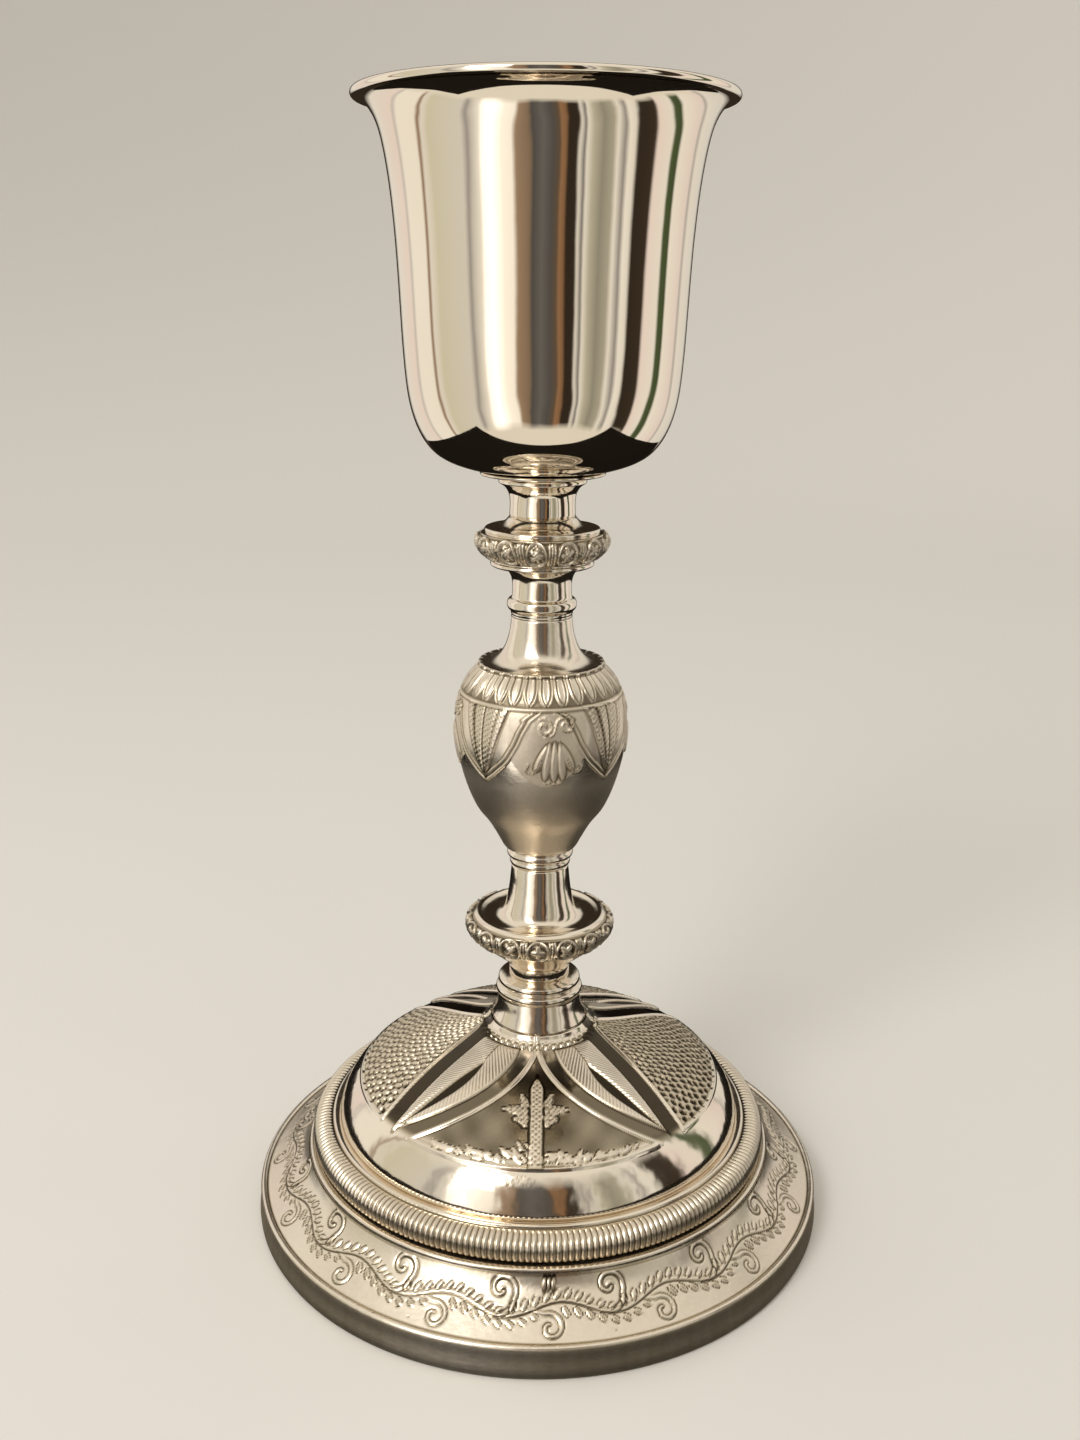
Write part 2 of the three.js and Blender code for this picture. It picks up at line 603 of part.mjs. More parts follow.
function upperKnopRows() {
  const knopPlace = (share, up) => [
    mix(UPPER_NECK_RADIUS, UPPER_KNOP_RADIUS, share), upperKnopBottom + UPPER_KNOP_RISE * up,
  ];
  const band = smooth([
    knopPlace(0.64, 0.24), knopPlace(0.86, 0.38), knopPlace(1, 0.64), knopPlace(0.88, 0.87),
  ], BAND_STRIPS);
  const neckAt = (share) => upperNeckBottom + UPPER_NECK_RISE * share;
  return [
    onAxis(URN_TOP_SEAT),
    ...rings([
      [URN_NECK_RADIUS, URN_TOP_SEAT], [URN_NECK_RADIUS + 0.3, URN_TOP_SEAT + BEAD_RISE * 0.22],
      ...moulding(BEAD_RADIUS, URN_TOP_SEAT + BEAD_RISE * 0.25, BEAD_RISE * 0.75),
      [UPPER_NECK_RADIUS, neckAt(0.05)], [UPPER_NECK_RADIUS, neckAt(0.42)],
      [UPPER_NECK_RADIUS + 0.6, neckAt(0.72)], [UPPER_NECK_RADIUS + 2, neckAt(0.96)],
    ], STEM_COLUMNS),
    ...rings([knopPlace(0.55, 0.03), knopPlace(0.62, 0.1), knopPlace(0.59, 0.2)], UPPER_KNOP_COLUMNS),
    ...rosetteBand(band, UPPER_OVALS),
    ...rings([knopPlace(0.74, 0.9), knopPlace(0.73, 0.98), knopPlace(0.66, 1)], UPPER_KNOP_COLUMNS),
    ...rings([
      [mix(NECK_RADIUS, UPPER_KNOP_RADIUS, 0.4), upperKnopTop + UPPER_FLARE_RISE * 0.2],
      [mix(NECK_RADIUS, UPPER_KNOP_RADIUS, 0.16), upperKnopTop + UPPER_FLARE_RISE * 0.55],
      [NECK_RADIUS, UPPER_KNOP_TOP_SEAT],
    ], STEM_COLUMNS),
    onAxis(UPPER_KNOP_TOP_SEAT),
  ];
}

// Collar: short neck, thin ring, cove and the wide thin flange that the cup stands on.
const collarRing = UPPER_KNOP_TOP_SEAT + COLLAR_NECK_RISE;
const flangeBottom = collarRing + COLLAR_RING_RISE;
const CUP_SEAT = flangeBottom + FLANGE_RISE;
const CUP_SEAT_RADIUS = FLANGE_RADIUS - 0.8;

const collarRows = () => [
  onAxis(UPPER_KNOP_TOP_SEAT),
  ...rings([
    [NECK_RADIUS, UPPER_KNOP_TOP_SEAT], [NECK_RADIUS, collarRing - COLLAR_NECK_RISE * 0.3],
    [mix(NECK_RADIUS, COLLAR_RING_RADIUS, 0.7), collarRing],
    [COLLAR_RING_RADIUS, collarRing + COLLAR_RING_RISE * 0.3],
    [COLLAR_RING_RADIUS, collarRing + COLLAR_RING_RISE * 0.65],
    [COLLAR_RING_RADIUS - 0.3, flangeBottom - COLLAR_RING_RISE * 0.15],
  ], STEM_COLUMNS),
  ...rings([
    [mix(COLLAR_RING_RADIUS, FLANGE_RADIUS, 0.3), flangeBottom],
    [FLANGE_RADIUS, flangeBottom + FLANGE_RISE * 0.5], [CUP_SEAT_RADIUS, CUP_SEAT],
  ], FLANGE_COLUMNS),
  onAxis(CUP_SEAT),
];

// Cup: a bell with a rolled lip, one wall thick all over.
const cupPlace = (radiusShare, share) => [CUP_BODY_RADIUS * radiusShare, CUP_SEAT + CUP_RISE * share];
const lipHeight = CUP_SEAT + CUP_RISE;
const CUP_TOP = lipHeight + LIP_ROLL_RADIUS;

function cupRows() {
  const bowl = smooth([
    [CUP_SEAT_RADIUS, CUP_SEAT], cupPlace(0.656, 0.022), cupPlace(0.79, 0.058), cupPlace(0.893, 0.125),
    cupPlace(0.962, 0.27), cupPlace(0.996, 0.48), cupPlace(1.03, 0.7), cupPlace(1.096, 0.885),
    [mix(CUP_BODY_RADIUS, CUP_MOUTH_RADIUS, 0.58), CUP_SEAT + CUP_RISE * 0.957],
    [CUP_MOUTH_RADIUS, lipHeight - LIP_ROLL_RADIUS],
  ], 11);
  const inside = inset(bowl, CUP_WALL).filter((_, i) => i % 2 === 0).reverse();
  const roll = [-0.2, 0.2, 0.65].map((turn) => [
    CUP_MOUTH_RADIUS + LIP_ROLL_RADIUS * Math.cos(turn * Math.PI),
    lipHeight + LIP_ROLL_RADIUS * Math.sin(turn * Math.PI),
  ]);
  return [
    onAxis(CUP_SEAT),
    ...rings([...bowl, ...roll, ...inside], CUP_COLUMNS),
    onAxis(CUP_SEAT + CUP_WALL),
  ];
}

const chalice = new THREE.Group();
chalice.name = 'chalice';
chalice.add(
  body('foot', CHASED, footRows()),
  body('lower_knop', CHASED, lowerKnopRows()),
  body('urn_knop', CHASED, urnKnopRows()),
  body('upper_knop', CHASED, upperKnopRows()),
  body('cup_collar', POLISHED, collarRows()),
  body('cup', POLISHED, cupRows()),
);

export default chalice;
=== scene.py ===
import math

import bpy
import numpy as np
from mathutils import Matrix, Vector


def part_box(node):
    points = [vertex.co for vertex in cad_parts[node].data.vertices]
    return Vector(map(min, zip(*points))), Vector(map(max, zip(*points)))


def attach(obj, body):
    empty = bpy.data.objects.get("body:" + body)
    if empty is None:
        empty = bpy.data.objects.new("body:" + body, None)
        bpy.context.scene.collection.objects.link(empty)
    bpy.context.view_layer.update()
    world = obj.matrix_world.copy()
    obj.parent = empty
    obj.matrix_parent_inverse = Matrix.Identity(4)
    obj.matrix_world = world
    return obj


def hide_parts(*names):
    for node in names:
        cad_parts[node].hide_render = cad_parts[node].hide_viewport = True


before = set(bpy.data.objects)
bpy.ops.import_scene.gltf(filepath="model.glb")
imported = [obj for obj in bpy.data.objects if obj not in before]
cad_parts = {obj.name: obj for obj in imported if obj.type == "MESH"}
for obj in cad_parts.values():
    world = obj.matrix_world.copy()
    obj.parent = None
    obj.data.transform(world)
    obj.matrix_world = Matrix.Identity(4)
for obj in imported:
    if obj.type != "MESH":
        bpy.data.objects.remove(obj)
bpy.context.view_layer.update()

# Outlines are in millimetres, as (radius, height above the piece's own seat).
# Azimuths are in degrees from the front (-Y) towards +X.
MM = 0.001
BODY = "root"
SEAT = {node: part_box(node)[0].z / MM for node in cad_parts}

# Walls, and the steps along plain runs, small roundings and the inside of the foot
FOOT_WALL = 1.5
CUP_WALL = 1.0
PLAIN_STEP = 0.7
ROUND_STEP = 0.25
INSIDE_STEP = 1.6

# Columns round the axis of each mesh; the inside has one for every eight of the outside
REED_COUNT = 256
COLUMNS = {
    "foot_edge": 1248, "foot_reeds": REED_COUNT * 6, "foot_dome": 824, "foot_neck": 144,
    "lower_knop_turned": 480, "urn_knop_turned": 576, "upper_knop_turned": 468,
    "cup_collar_turned": 160, "cup_spun": 240,
}
INSIDE_EVERY = 8

# Turn of each ornament about the axis
FRONT_PANEL_AZ = -1.5
SIDE_PANEL_AZ = (87.0, 177.0, 267.0)
LEAF_TIPS_AZ = (-49.5, 43.0, 133.0, 221.5)
CROSS_AZ = -0.7
URN_ARCH_AZ = 4.5
PALMETTE_SHIFT = 3.7

# Dome ornament, as lengths up the dome from its bottom edge
PANEL_BASE = 11.7
PANEL_APEX = 46.2
LEAF_TIP = 10.4
BEAD_LINE = 45.9
BEAD_PITCH = 8.0
GAP_BOTTOM = 13.5
GAP_TOP = 38.3
FRONT_BAND = 3.9
SIDE_BAND = 5.0
BORDER_PROUD = 0.5
LEAF_PROUD = 0.5
SCALE_PROUD = 0.55
CROSS_PROUD = 0.5


# Curves and small shapes

def spline(points, step, fine=None):
    """Places about a step apart on the natural cubic curve through the points.

    fine is (from, to, step): the lengths between which the steps are smaller."""
    p = np.array(points, float)
    t = np.concatenate([[0.0], np.cumsum(np.hypot(*np.diff(p, axis=0).T))])
    h = np.diff(t)
    system = np.eye(len(t))
    right = np.zeros_like(p)
    for i in range(1, len(t) - 1):
        system[i, i - 1:i + 2] = h[i - 1], 2 * (h[i - 1] + h[i]), h[i]
        right[i] = 6 * ((p[i + 1] - p[i]) / h[i] - (p[i] - p[i - 1]) / h[i - 1])
    m = np.linalg.solve(system, right)
    stops = [0.0, t[-1]] if fine is None else [0.0, fine[0], min(fine[1], t[-1]), t[-1]]
    sizes = [step] if fine is None else [step, fine[2], step]
    at = [np.zeros(1)]
    for low, high, size in zip(stops[:-1], stops[1:], sizes):
        if high > low:
            at.append(np.linspace(low, high, max(1, math.ceil((high - low) / size)) + 1)[1:])
    at = np.concatenate(at)
    k = np.clip(np.searchsorted(t, at, side="right") - 1, 0, len(h) - 1)
    a = (t[k + 1] - at)[:, None]
    b = (at - t[k])[:, None]
    hk = h[k][:, None]
    return (
        (m[k] * a ** 3 + m[k + 1] * b ** 3) / (6 * hk)
        + (p[k] / hk - m[k] * hk / 6) * a
        + (p[k + 1] / hk - m[k + 1] * hk / 6) * b
    )


def joined(*runs):
    """One run of places from several, without the doubled places where they meet."""
    places = np.vstack([np.array(run, float) for run in runs])
    apart = np.hypot(*np.diff(places, axis=0).T) > 1e-6
    return places[np.concatenate([[True], apart])]


def offset(places, wall):
    """The run moved to its inner side by a wall, in reverse order."""
    along = np.gradient(places, axis=0)
    along /= np.hypot(*along.T)[:, None]
    return (places + wall * np.stack([-along[:, 1], along[:, 0]], 1))[::-1]


def fold(angle, period):
    return (angle + period / 2) % period - period / 2


def ridge(distance, half_width):
    """A rounded line: 1 on it, 0 from its half width outwards."""
    return 0.5 + 0.5 * np.cos(np.pi * np.clip(distance / half_width, -1, 1))


def rise(low, high, value):
    t = np.clip((value - low) / (high - low), 0, 1)
    return t * t * (3 - 2 * t)


def path_gap(x, y, path):
    """Distance from each place to a path, and how far along it (0 to 1) the nearest point is."""
    best = np.full(np.broadcast(x, y).shape, 1e9)
    where = np.zeros(best.shape)
    for i, ((ax, ay), (bx, by)) in enumerate(zip(path[:-1], path[1:])):
        dx, dy = bx - ax, by - ay
        t = np.clip(((x - ax) * dx + (y - ay) * dy) / (dx * dx + dy * dy), 0, 1)
        gap = np.hypot(x - ax - t * dx, y - ay - t * dy)
        nearer = gap < best
        best = np.where(nearer, gap, best)
        where = np.where(nearer, (i + t) / (len(path) - 1), where)
    return best, where


def curl(centre, radii, turns):
    """A spiral's points, from the first radius and angle (in degrees) to the second."""
    share = np.linspace(0, 1, 26)
    angle = np.radians(turns[0] + (turns[1] - turns[0]) * share)
    radius = radii[0] + (radii[1] - radii[0]) * share
    return np.stack([centre[0] + radius * np.cos(angle), centre[1] + radius * np.sin(angle)], 1)


def blade(x, y, foot, angle, length, width, widest=0.5):
    """A pointed leaf from its foot: 1 on its middle, 0 at its edge, down to -1 outside."""
    c, s = math.cos(math.radians(angle)), math.sin(math.radians(angle))
    u = np.clip(((x - foot[0]) * c + (y - foot[1]) * s) / length, 0, 1)
    v = (-(x - foot[0]) * s + (y - foot[1]) * c) / (width / 2)
    bent = u ** (math.log(0.5) / math.log(widest))
    room = np.sqrt(np.clip(4 * bent * (1 - bent), 0, 1))
    return np.where((u > 0) & (u < 1), np.maximum(room - np.abs(v), -1), -1.0)


def disc(x, y, centre, radius):
    """1 at a round boss's centre, 0 at its edge, down to -1 outside."""
    return np.maximum(1 - np.hypot(x - centre[0], y - centre[1]) / radius, -1)


def placed(name, data):
    made = bpy.data.objects.new(name, data)
    bpy.context.scene.collection.objects.link(made)
    return made


# Fields per vertex: finish, tarnish together with painted shade and highlights, and hatching
FIELDS = ("satin", "patina", "hatch", "hatch_on")
ON_AXIS = 1e-6


class Relief:
    """Heights and finish over a grid of rows (along the outline) and columns (round the axis)."""

    def __init__(self, az, s, radius):
        self.az = az[None, :]
        self.s = s[:, None]
        self.mm = (radius * math.pi / 180)[:, None]
        for field in ("height", *FIELDS):
            setattr(self, field, np.zeros((len(s), len(az))))

    def dull_to(self, finish):
        """Make the finish at least this matt (0 is a mirror)."""
        self.satin = np.maximum(self.satin, finish)


def strip(low, lower_count, high, upper_count):
    """Faces between two rings of vertices, given where each starts and how many it has."""
    small, large = sorted((lower_count, upper_count))
    j = np.arange(small)
    after = (j + 1) % small
    if small == large:
        return np.stack([low + j, low + after, high + after, high + j], 1), np.zeros((0, 3), int)
    ratio = large // small
    fans = []
    for k in range(ratio):
        here, there = j * ratio + k, (j * ratio + k + 1) % large
        if lower_count > upper_count:
            fans.append(np.stack([low + here, low + there, high + j], 1))
        else:
            fans.append(np.stack([high + there, high + here, low + j], 1))
    if small > 1:
        turn = (after * ratio) % large
        if lower_count > upper_count:
            fans.append(np.stack([low + turn, high + after, high + j], 1))
        else:
            fans.append(np.stack([low + j, low + after, high + turn], 1))
    return np.zeros((0, 4), int), np.vstack(fans)


def circle(r, z, az):
    angle = np.radians(az)
    return np.stack([r * np.sin(angle), -r * np.cos(angle), z + 0 * angle], 1)


def ring_mesh(name, rows, hollow):
    """A mesh from rows of (places, fields); a hollow one also joins its last row to its first."""
    counts = [len(places) for places, _ in rows]
    first = np.concatenate([[0], np.cumsum(counts)])
    pairs = [(i, i + 1) for i in range(len(rows) - 1)]
    if hollow:
        pairs.append((len(rows) - 1, 0))
    faces = [strip(first[i], counts[i], first[k], counts[k]) for i, k in pairs]
    quads = np.vstack([quad for quad, _ in faces])
    triangles = np.vstack([triangle for _, triangle in faces])
    vertices = np.vstack([places for places, _ in rows])
    mesh = bpy.data.meshes.new(name)
    mesh.vertices.add(len(vertices))
    mesh.vertices.foreach_set("co", (vertices * MM).astype(np.float32).ravel())
    mesh.loops.add(quads.size + triangles.size)
    mesh.loops.foreach_set("vertex_index", np.concatenate([quads.ravel(), triangles.ravel()]))
    mesh.polygons.add(len(quads) + len(triangles))
    starts = np.concatenate([
        np.arange(len(quads)) * 4, len(quads) * 4 + np.arange(len(triangles)) * 3,
    ])
    mesh.polygons.foreach_set("loop_start", starts)
    mesh.polygons.foreach_set("use_smooth", np.ones(len(starts), bool))
    mesh.update(calc_edges=True)
    mesh.validate()
    for index, field in enumerate(FIELDS):
        layer = mesh.attributes.new(field, "FLOAT", "POINT")
        values = np.concatenate([fields[index] for _, fields in rows])
        layer.data.foreach_set("value", values.astype(np.float32))
    return mesh


def turned(name, outside, carve=None, start=None, inside=None, satin=0.0):
    """A turned piece as one closed mesh of rings of vertices.

    The outside starts and ends on the axis, or the inside closes it with coarser rings.
    Lengths along the outside are measured from the start."""
    outside = np.array(outside, float)
    lengths = np.concatenate([[0.0], np.cumsum(np.hypot(*np.diff(outside, axis=0).T))])
    if start is not None:
        lengths -= lengths[np.argmin(np.hypot(*(outside - np.array(start)).T))]
    along = np.gradient(outside, axis=0)
    along /= np.maximum(np.hypot(*along.T), 1e-9)[:, None]
    az = np.arange(COLUMNS[name]) * 360.0 / COLUMNS[name] - 180.0
    relief = Relief(az, lengths, np.maximum(outside[:, 0], ON_AXIS))
    relief.satin += satin
    if carve:
        carve(relief)
    fields = [getattr(relief, field) for field in FIELDS]
    rows = []
    for i, (r, z) in enumerate(outside):
        if r < ON_AXIS:
            rows.append((np.array([[0.0, 0.0, z]]), [field[i, :1] for field in fields]))
            continue
        radius = r + relief.height[i] * along[i, 1]
        height = z - relief.height[i] * along[i, 0]
        rows.append((circle(radius, height, az), [field[i] for field in fields]))
    for r, z in ([] if inside is None else inside):
        places = circle(r, z, az[::INSIDE_EVERY])
        plain = np.full(len(places), satin)
        rows.append((places, [plain] + [0 * plain] * 3))
    return placed(name, ring_mesh(name, rows, inside is not None))


def raised_to(node, outline):
    return np.array(outline, float) + [0.0, SEAT[node]]


# Foot: rim and slope with the scrolling stem

SCROLL_WAVES = 16
WAVE_CREST_AZ = 4.2
WAVE_MIDDLE = 6.9
WAVE_SWING = 1.7
VALLEY_TO_CREST = 10.6
SLOPE = [(70.4, 7.8), (66.6, 10.4), (63.0, 13.1), (60.8, 15.2), (59.7, 16.9)]
SLOPE_CARVED = (0.35, 13.9)

# Upper volute: from the stem's valley it rises on the right and curls back over to the left
UPPER_VOLUTE = np.vstack([
    spline([(-5.2, -5.0), (-2.4, -5.5), (0.6, -5.3), (2.4, -4.0)], 1.0),
    curl((0, 0), (3.55, 0.7), (-35, 320)),
])
# Lower volute: from the stem it runs right, turns down and curls back under to the left
LOWER_VOLUTE = np.vstack([
    spline([(-5.0, 3.5), (-3.6, 3.6), (-2.2, 3.2)], 1.0),
    curl((0, 0), (3.2, 0.8), (112, -250)),
])
UPPER_VOLUTE_UP = 11.2
LOWER_VOLUTE_UP = 3.3
# Leaflets above and below the stem, as (degrees after the valley, angle, length)
UPPER_LEAFLETS = [(2.0 + 2.15 * k, 76 - 4.9 * k, 3.1 - 0.1 * k) for k in range(10)]
LOWER_LEAFLETS = [(12.2 + 2.32 * k, 61 - 4.6 * k, 3.0 - 0.13 * k) for k in range(8)]
# Nicks, as (azimuth, length up the slope, size)
NICKS = ((-27.5, 2.6, 0.45), (-24.5, 1.4, 0.3), (-31.0, -0.9, 0.5), (14.8, 1.5, 0.35), (-51, 4, 0.3))
STROKES_AZ = 2.51
STROKES_UP = 12.7
LIP_START = -2.2
SLOPE_END = 14.2


def stem_height(after_valley):
    return WAVE_MIDDLE - WAVE_SWING * np.cos(2 * np.pi * after_valley * SCROLL_WAVES / 360)


def carve_scroll(relief):
    """The waving stem with its volutes and leaflets, each with a dark line beside it."""
    on = rise(SLOPE_CARVED[0], SLOPE_CARVED[0] + 0.3, relief.s)
    on = on * rise(SLOPE_CARVED[1], SLOPE_CARVED[1] - 0.3, relief.s)
    period = 360 / SCROLL_WAVES
    u = (relief.az - WAVE_CREST_AZ + VALLEY_TO_CREST) % period
    x = u * relief.mm + 0 * relief.s
    y = relief.s + 0 * x
    lean = WAVE_SWING * 2 * np.pi / (period * relief.mm) * np.sin(2 * np.pi * u / period)
    stem = (y - stem_height(u)) / np.sqrt(1 + lean ** 2)
    height = 0.18 * ridge(stem - 0.45, 0.5)
    dark = ridge(stem + 0.08, 0.34) + 0.35 * ridge(stem - 1.05, 0.3)
    for turn in (-period, 0, period):
        left = x - (turn - 0.9) * relief.mm
        gap, along = path_gap(left, y - UPPER_VOLUTE_UP, UPPER_VOLUTE)
        swell = 0.56 - 0.2 * along
        height = np.maximum(height, 0.22 * ridge(gap, swell))
        dark = np.maximum(dark, ridge(gap - swell - 0.12, 0.34) * rise(0.02, 0.25, along))
        eye = disc(left, y - UPPER_VOLUTE_UP, (0.1, 0.1), 0.75)
        height = np.maximum(height, 0.26 * rise(0, 0.6, eye))
        right = x - (turn + VALLEY_TO_CREST - 1.6) * relief.mm
        gap, along = path_gap(right, y - LOWER_VOLUTE_UP, LOWER_VOLUTE)
        swell = 0.55 - 0.18 * along
        height = np.maximum(height, 0.24 * ridge(gap, swell))
        dark = np.maximum(dark, 0.9 * ridge(gap - swell - 0.1, 0.3) * rise(0.02, 0.25, along))
        for side, leaflets in ((1, UPPER_LEAFLETS), (-1, LOWER_LEAFLETS)):
            for at, angle, length in leaflets:
                foot = ((at + turn - 0.7) * relief.mm, stem_height(at - 0.7) + side * 0.75)
                leaf = blade(x, y, foot, side * angle, 0.95 * length, 1.12, 0.55)
                height = np.maximum(height, 0.2 * rise(-0.05, 0.55, leaf))
                dark = np.maximum(dark, 1.1 * ridge(leaf + 0.32, 0.42))
                dark = np.maximum(dark, 0.6 * (side < 0) * rise(0.5, 0.85, leaf))
    dark = np.clip(dark, 0, 1)
    relief.height += on * (height - 0.16 * dark)
    relief.patina += on * 0.9 * dark
    on_slope = (relief.s > LIP_START) & (relief.s < SLOPE_END)
    relief.satin = np.where(on_slope, 0.42 + 0.1 * on, relief.satin)


def carve_slope(relief):
    """The scroll, three short strokes over it, the plain edge with its brush marks and painted
    highlight, and the nicks.
    """
    carve_scroll(relief)
    upright = fold(relief.az - STROKES_AZ, 360)
    for k in (-1, 0, 1):
        across = (upright - 0.95 * k - 0.1 * (relief.s - STROKES_UP)) * relief.mm
        stroke = np.hypot(across, (relief.s - STROKES_UP) * 0.3)
        relief.height += 0.3 * ridge(stroke, 0.42)
        relief.patina += 0.75 * ridge(stroke - 0.5, 0.26)
    edge = relief.s < LIP_START
    relief.satin = np.where(edge, 0.95, relief.satin)
    # Brush marks round the plain edge, which is darkened all round; a paler stretch left of its front is
    # a painted highlight where the key light's reflection falls
    brush_marks_and_highlight = 0.03 * np.sin(np.radians(relief.az * 41)) * np.sin(np.radians(relief.az * 97 + 40))
    brush_marks_and_highlight = brush_marks_and_highlight + 0.22 * ridge(fold(relief.az + 13, 360), 24)
    # Painted highlight: the edge's colour is left paler left of its front
    relief.patina += np.where(edge, 0.22 - brush_marks_and_highlight, 0)
    relief.patina += 0.55 * ridge(relief.s + 0.15, 0.3) + 0.5 * ridge(relief.s - SLOPE_END - 0.1, 0.4)
    for az, s, size in NICKS:
        nick = np.hypot(fold(relief.az - az, 360) * relief.mm, relief.s - s)
        relief.height -= 0.15 * ridge(nick, size)
        relief.patina += 0.7 * ridge(nick, size)


def foot_edge():
    outside = joined(
        [(71.0, 0.0), (72.25, 0.0)],
        spline([(72.25, 0.0), (72.5, 0.35), (72.42, 4.0), (72.35, 7.3)], 1.2),
        spline([(72.35, 7.3), (72.15, 7.8), (71.75, 8.12), (71.3, 8.12), (70.95, 7.86)], 0.28),
        [(70.62, 7.78)],
        spline(SLOPE, 0.28),
        [(59.5, 17.15), (59.45, 17.6), (59.4, 18.05), (59.2, 18.25), (58.7, 18.3), (57.0, 18.3)],
    )
    underside = [(57.0, 16.9), (58.6, 16.6), (60.0, 14.4), (65.6, 9.2), (69.4, 6.4), (70.6, 5.6)]
    inside = joined(spline(underside, INSIDE_STEP), [(71.0, 4.6), (71.0, 2.4)])
    return turned("foot_edge", outside, carve_slope, SLOPE[0], inside, satin=0.4)


# Foot: reeded torus

def carve_reeds(relief):
    on = rise(0.5, 1.4, relief.s) * rise(9.6, 8.8, relief.s)
    round_top = np.abs(np.sin(np.radians(relief.az * REED_COUNT / 2)))
    relief.height += 0.5 * on * (round_top - 0.62)
    relief.patina += 0.75 * on * rise(0.45, 0.1, round_top)
    # Darker towards the lower edge of the reeds, and a little towards their top
    relief.patina += 0.05 * on * rise(5.0, 8.5, relief.s) + 0.2 * on * rise(4.0, 1.0, relief.s)
    relief.satin += 0.3 * on
    relief.patina += 0.7 * ridge(relief.s - 10.0, 0.5)


def foot_reeds():
    torus = [
        (57.1, 18.3), (57.9, 19.3), (58.2, 20.9), (58.05, 22.4), (57.2, 23.7), (55.8, 24.45),
        (54.3, 24.6), (53.5, 24.45),
    ]
    fillet = [(53.3, 24.45), (53.25, 24.8), (53.15, 25.05), (52.6, 25.1), (51.2, 25.1)]
    hollow = [(50.2, 24.0), (53.2, 22.8), (56.0, 22.0), (56.5, 20.2), (56.2, 18.3)]
    outside = joined(spline(torus, 0.44), fillet)
    return turned("foot_reeds", outside, carve_reeds, torus[0], spline(hollow, INSIDE_STEP), satin=0.2)


# Foot: dome with its panels, leaves and cross

DOME = [
    (51.4, 25.1), (51.25, 26.5), (50.7, 28.2), (49.8, 30.0), (48.4, 32.1), (46.6, 34.1), (44.2, 36.0),
    (41.2, 37.8), (37.6, 39.6), (33.4, 41.3), (28.6, 43.0), (23.6, 44.6), (19.4, 46.0), (16.2, 47.3),
    (13.9, 48.6), (12.75, 49.8), (12.1, 50.8),
]


def front_half(share):
    return 40.4 * (1 - share) ** 1.12 + 0.5


def side_half(share):
    return 36.0 * np.sqrt(np.clip(1 - share ** 1.5, 0, 1)) + 0.5


def panel_inside(relief, centre, half):
    """The turn from a panel's middle, how far inside its border each place is in millimetres,
    the panel's half width, and how upright its border is."""
    share = np.clip((relief.s - PANEL_BASE) / (PANEL_APEX - PANEL_BASE), 0, 1)
    wide = half(share)
    lean = np.gradient(wide[:, 0], relief.s[:, 0])[:, None] * relief.mm
    u = fold(relief.az - centre, 360)
    across = (wide - np.abs(u)) * relief.mm / np.sqrt(1 + lean ** 2)
    return u, np.minimum(across, relief.s - PANEL_BASE), wide, 1 / np.sqrt(1 + lean ** 2)


SCALE_TURN = 3.75
SCALE_ROW = 1.65


def carve_scales(relief, u, inside):
    """A woven look: rounded scales in staggered rows with dark pits between their corners."""
    across = 2 * np.pi * (u / SCALE_TURN + 0.12 * np.sin(relief.s * 0.9))
    up = np.pi * (relief.s + 0.25 * np.sin(np.radians(u * 57))) / SCALE_ROW
    weave = np.cos(across) * np.cos(up)
    slant = 0.35 * np.sin(across) * np.cos(up)
    bump = np.sqrt(np.clip(0.62 - weave, 0, 1.6) / 1.6)
    pit = rise(0.05, 0.4, weave + slant)
    on = rise(0.75, 1.15, inside)
    relief.height += on * (SCALE_PROUD * bump * (1 + 0.3 * slant) - 0.35 * pit - 0.12)
    relief.patina += on * np.clip(pit + 0.15, 0, 1)
    relief.satin = np.where(on > 0, 0.62, relief.satin)


# Leaves of one arm of the cross, as (foot, angle, length, width), and its round berries
ARM_LEAVES = [((1.2, 26.6), 0, 7.0, 1.25), ((1.4, 27.6), 62, 3.4, 1.3), ((1.5, 25.6), -66, 3.0, 1.3)]
ARM_LEAVES += [((1.9 + 1.2 * k, 26.7), 50 - 5 * k, 2.5 - 0.35 * k, 1.05) for k in range(4)]
ARM_LEAVES += [((1.9 + 1.2 * k, 26.5), -50 + 5 * k, 2.2 - 0.35 * k, 1.05) for k in range(4)]
ARM_LEAVES += [((1.6 + 0.45 * k, 28.2 + 0.85 * k), 22 + 8 * k, 2.1 - 0.3 * k, 1.0) for k in range(4)]
ARM_BERRIES = [(2.5, 25.0), (3.6, 24.7), (2.4, 23.8), (3.4, 23.5), (4.5, 24.1), (2.6, 22.7), (4.0, 25.5)]


def scattered(count, seed):
    return np.random.default_rng(seed).random((count, 4))


def cross_sprays(x, y):
    """The leaves and berries on both arms, a little apart from a mirrored pair."""
    outwards = np.abs(x) * np.where(x > 0, 1.0, 0.94) + 0.12 * np.sin(3 * y + x)
    sprays = np.full(x.shape, -1.0)
    for foot, angle, length, width in ARM_LEAVES:
        sprays = np.maximum(sprays, blade(outwards, y, foot, angle, length, width, 0.55))
    for centre in ARM_BERRIES:
        sprays = np.maximum(sprays, disc(outwards, y, centre, 0.72))
    return sprays


def heaped_foliage(x, y):
    """Leaves along the foot of the panel, piled highest by the shaft."""
    foliage = np.full(x.shape, -1.0)
    for out, up, turn, size in scattered(150, 5):
        reach = 24.5 * (out * 2 - 1)
        room = 1.3 + 4.6 * math.exp(-abs(reach + 1.5) / 7.0)
        angle = (8 + 55 * turn) if reach > 0 else (172 - 55 * turn)
        foot = (reach, 12.3 + (room - 0.7) * up)
        foliage = np.maximum(foliage, blade(x, y, foot, angle, 1.3 + 1.2 * size, 0.85, 0.6))
    return foliage


